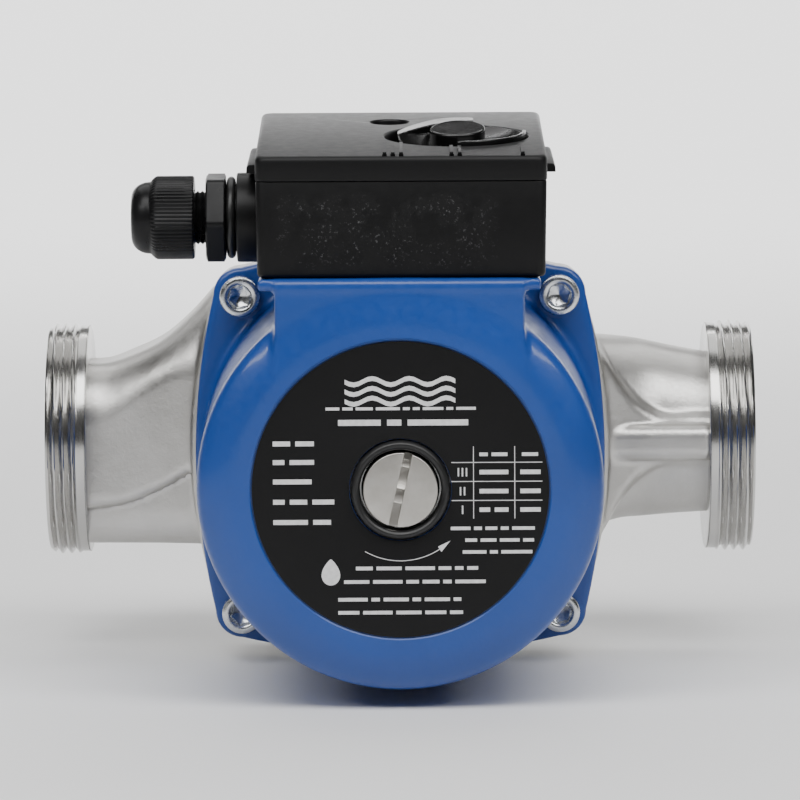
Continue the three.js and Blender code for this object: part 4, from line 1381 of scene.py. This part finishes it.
def sweep(level):
    """A pale floor that curves up into a low wall behind the pump."""
    wall = 2.2
    bend = 0.35
    line = [(-12.0, level), (-2.0, level), (wall - bend, level)]
    for k in range(1, 25):
        angle = math.pi / 2 * k / 24
        line.append((wall - bend + bend * math.sin(angle), level + bend * (1 - math.cos(angle))))
    line.append((wall, level + 0.9))
    points = [(x / MM, y / MM, z / MM) for x in (-15.0, 15.0) for y, z in line]
    count = len(line)
    faces = [(i, i + count, i + count + 1, i + 1) for i in range(count - 1)]
    return mesh_object("floor", points, faces, "white_plastic", 60)


def studio():
    world = bpy.data.worlds.new("studio")
    world.use_nodes = True
    world.node_tree.nodes["Background"].inputs["Color"].default_value = (1.0, 1.0, 1.0, 1.0)
    world.node_tree.nodes["Background"].inputs["Strength"].default_value = 0.05
    bpy.context.scene.world = world
    area_light("softbox", (0.0, -0.62, 0.90), (0, -0.06, 0.0), 1.5, 16.0, 0.62)
    area_light("rear top", (0.0, 0.50, 1.05), (0, -0.05, 0.0), 1.5, 5.5, 0.8)
    for side in (-1, 1):
        area_light(f"strip {side}", (1.05 * side, -0.95, 0.9), (0, -0.1, 0.0), 0.9, 4.0, 0.12)
    area_light("backdrop", (0, 1.3, 1.3), (0, 2.3, 0.05), 3.2, 70.0, 0.5)
    floor = sweep(cad_box[0].z - 0.0015)
    shader = Shader("floor").set(Roughness=0.6)
    shader.colour(shader.noise(3, 2.0), (0.86, 0.86, 0.86), (0.88, 0.88, 0.88))
    floor.data.materials[0] = shader.material


# ---------------------------------------------------------------- making
def place(piece, body, slot, *nodes):
    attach(piece, body)
    if nodes:
        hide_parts(*nodes)


camera()
studio()

place(pump_casting(), "pump", "cast_steel", "pump_housing")
place(thread_ring("suction_thread", -PORT_END, 1, SUCTION_RING), "pump", "cast_steel")
place(thread_ring("discharge_thread", PORT_END, -1, DISCHARGE_RING), "pump", "cast_steel")
place(stator_shell(), "pump", "blue_paint", "stator_housing")
for number, (side_x, side_z) in enumerate(((-1, 1), (1, 1), (-1, -1), (1, -1)), 1):
    screw = flange_screw(f"cap_screw_{number}", side_x * SCREW_AT, side_z * SCREW_AT)
    place(screw, "pump", "zinc", f"flange_screw_{number}")
place(label_disc(), "pump", "label_film", "name_plate")
place(label_print(), "pump", "label_film")
place(vent_screw(), "vent_screw", "machined_steel", "vent_screw")
place(vent_ring(), "pump", "rubber", "vent_collar")
vent_seal = o_ring("vent_seal_ring", "y", (0, 0, 0), 8.4, 0.8, -121.2, 0.75)
place(vent_seal, "vent_seal", "rubber", "vent_o_ring")

place(box_base(), "pump", "black_plastic", "terminal_box_base")
place(box_lid(), "lid", "black_plastic", "terminal_box_lid")
place(lid_screw(), "lid_screw", "zinc", "lid_screw")
place(speed_knob(), "knob", "black_plastic", "speed_knob")

place(gland_nut(), "gland_nut", "gland_plastic", "gland_nut")
place(gland_body(), "pump", "gland_plastic", "gland_body")
place(o_ring("gland_seal_ring", "x", GLAND_CENTRE, 8.85, 1.05, -40.45), "pump", "rubber", "gland_o_ring")

slots = {part["node"]: part["material_slot"] for part in frame["record"]["subparts"]}
for node, thing in frame["nodes"].items():
    thing.data.materials.clear()
    thing.data.materials.append(materials[slots[node]])
    shaded(thing.data, 30)
    eased_edges(thing, 0.2, 40)
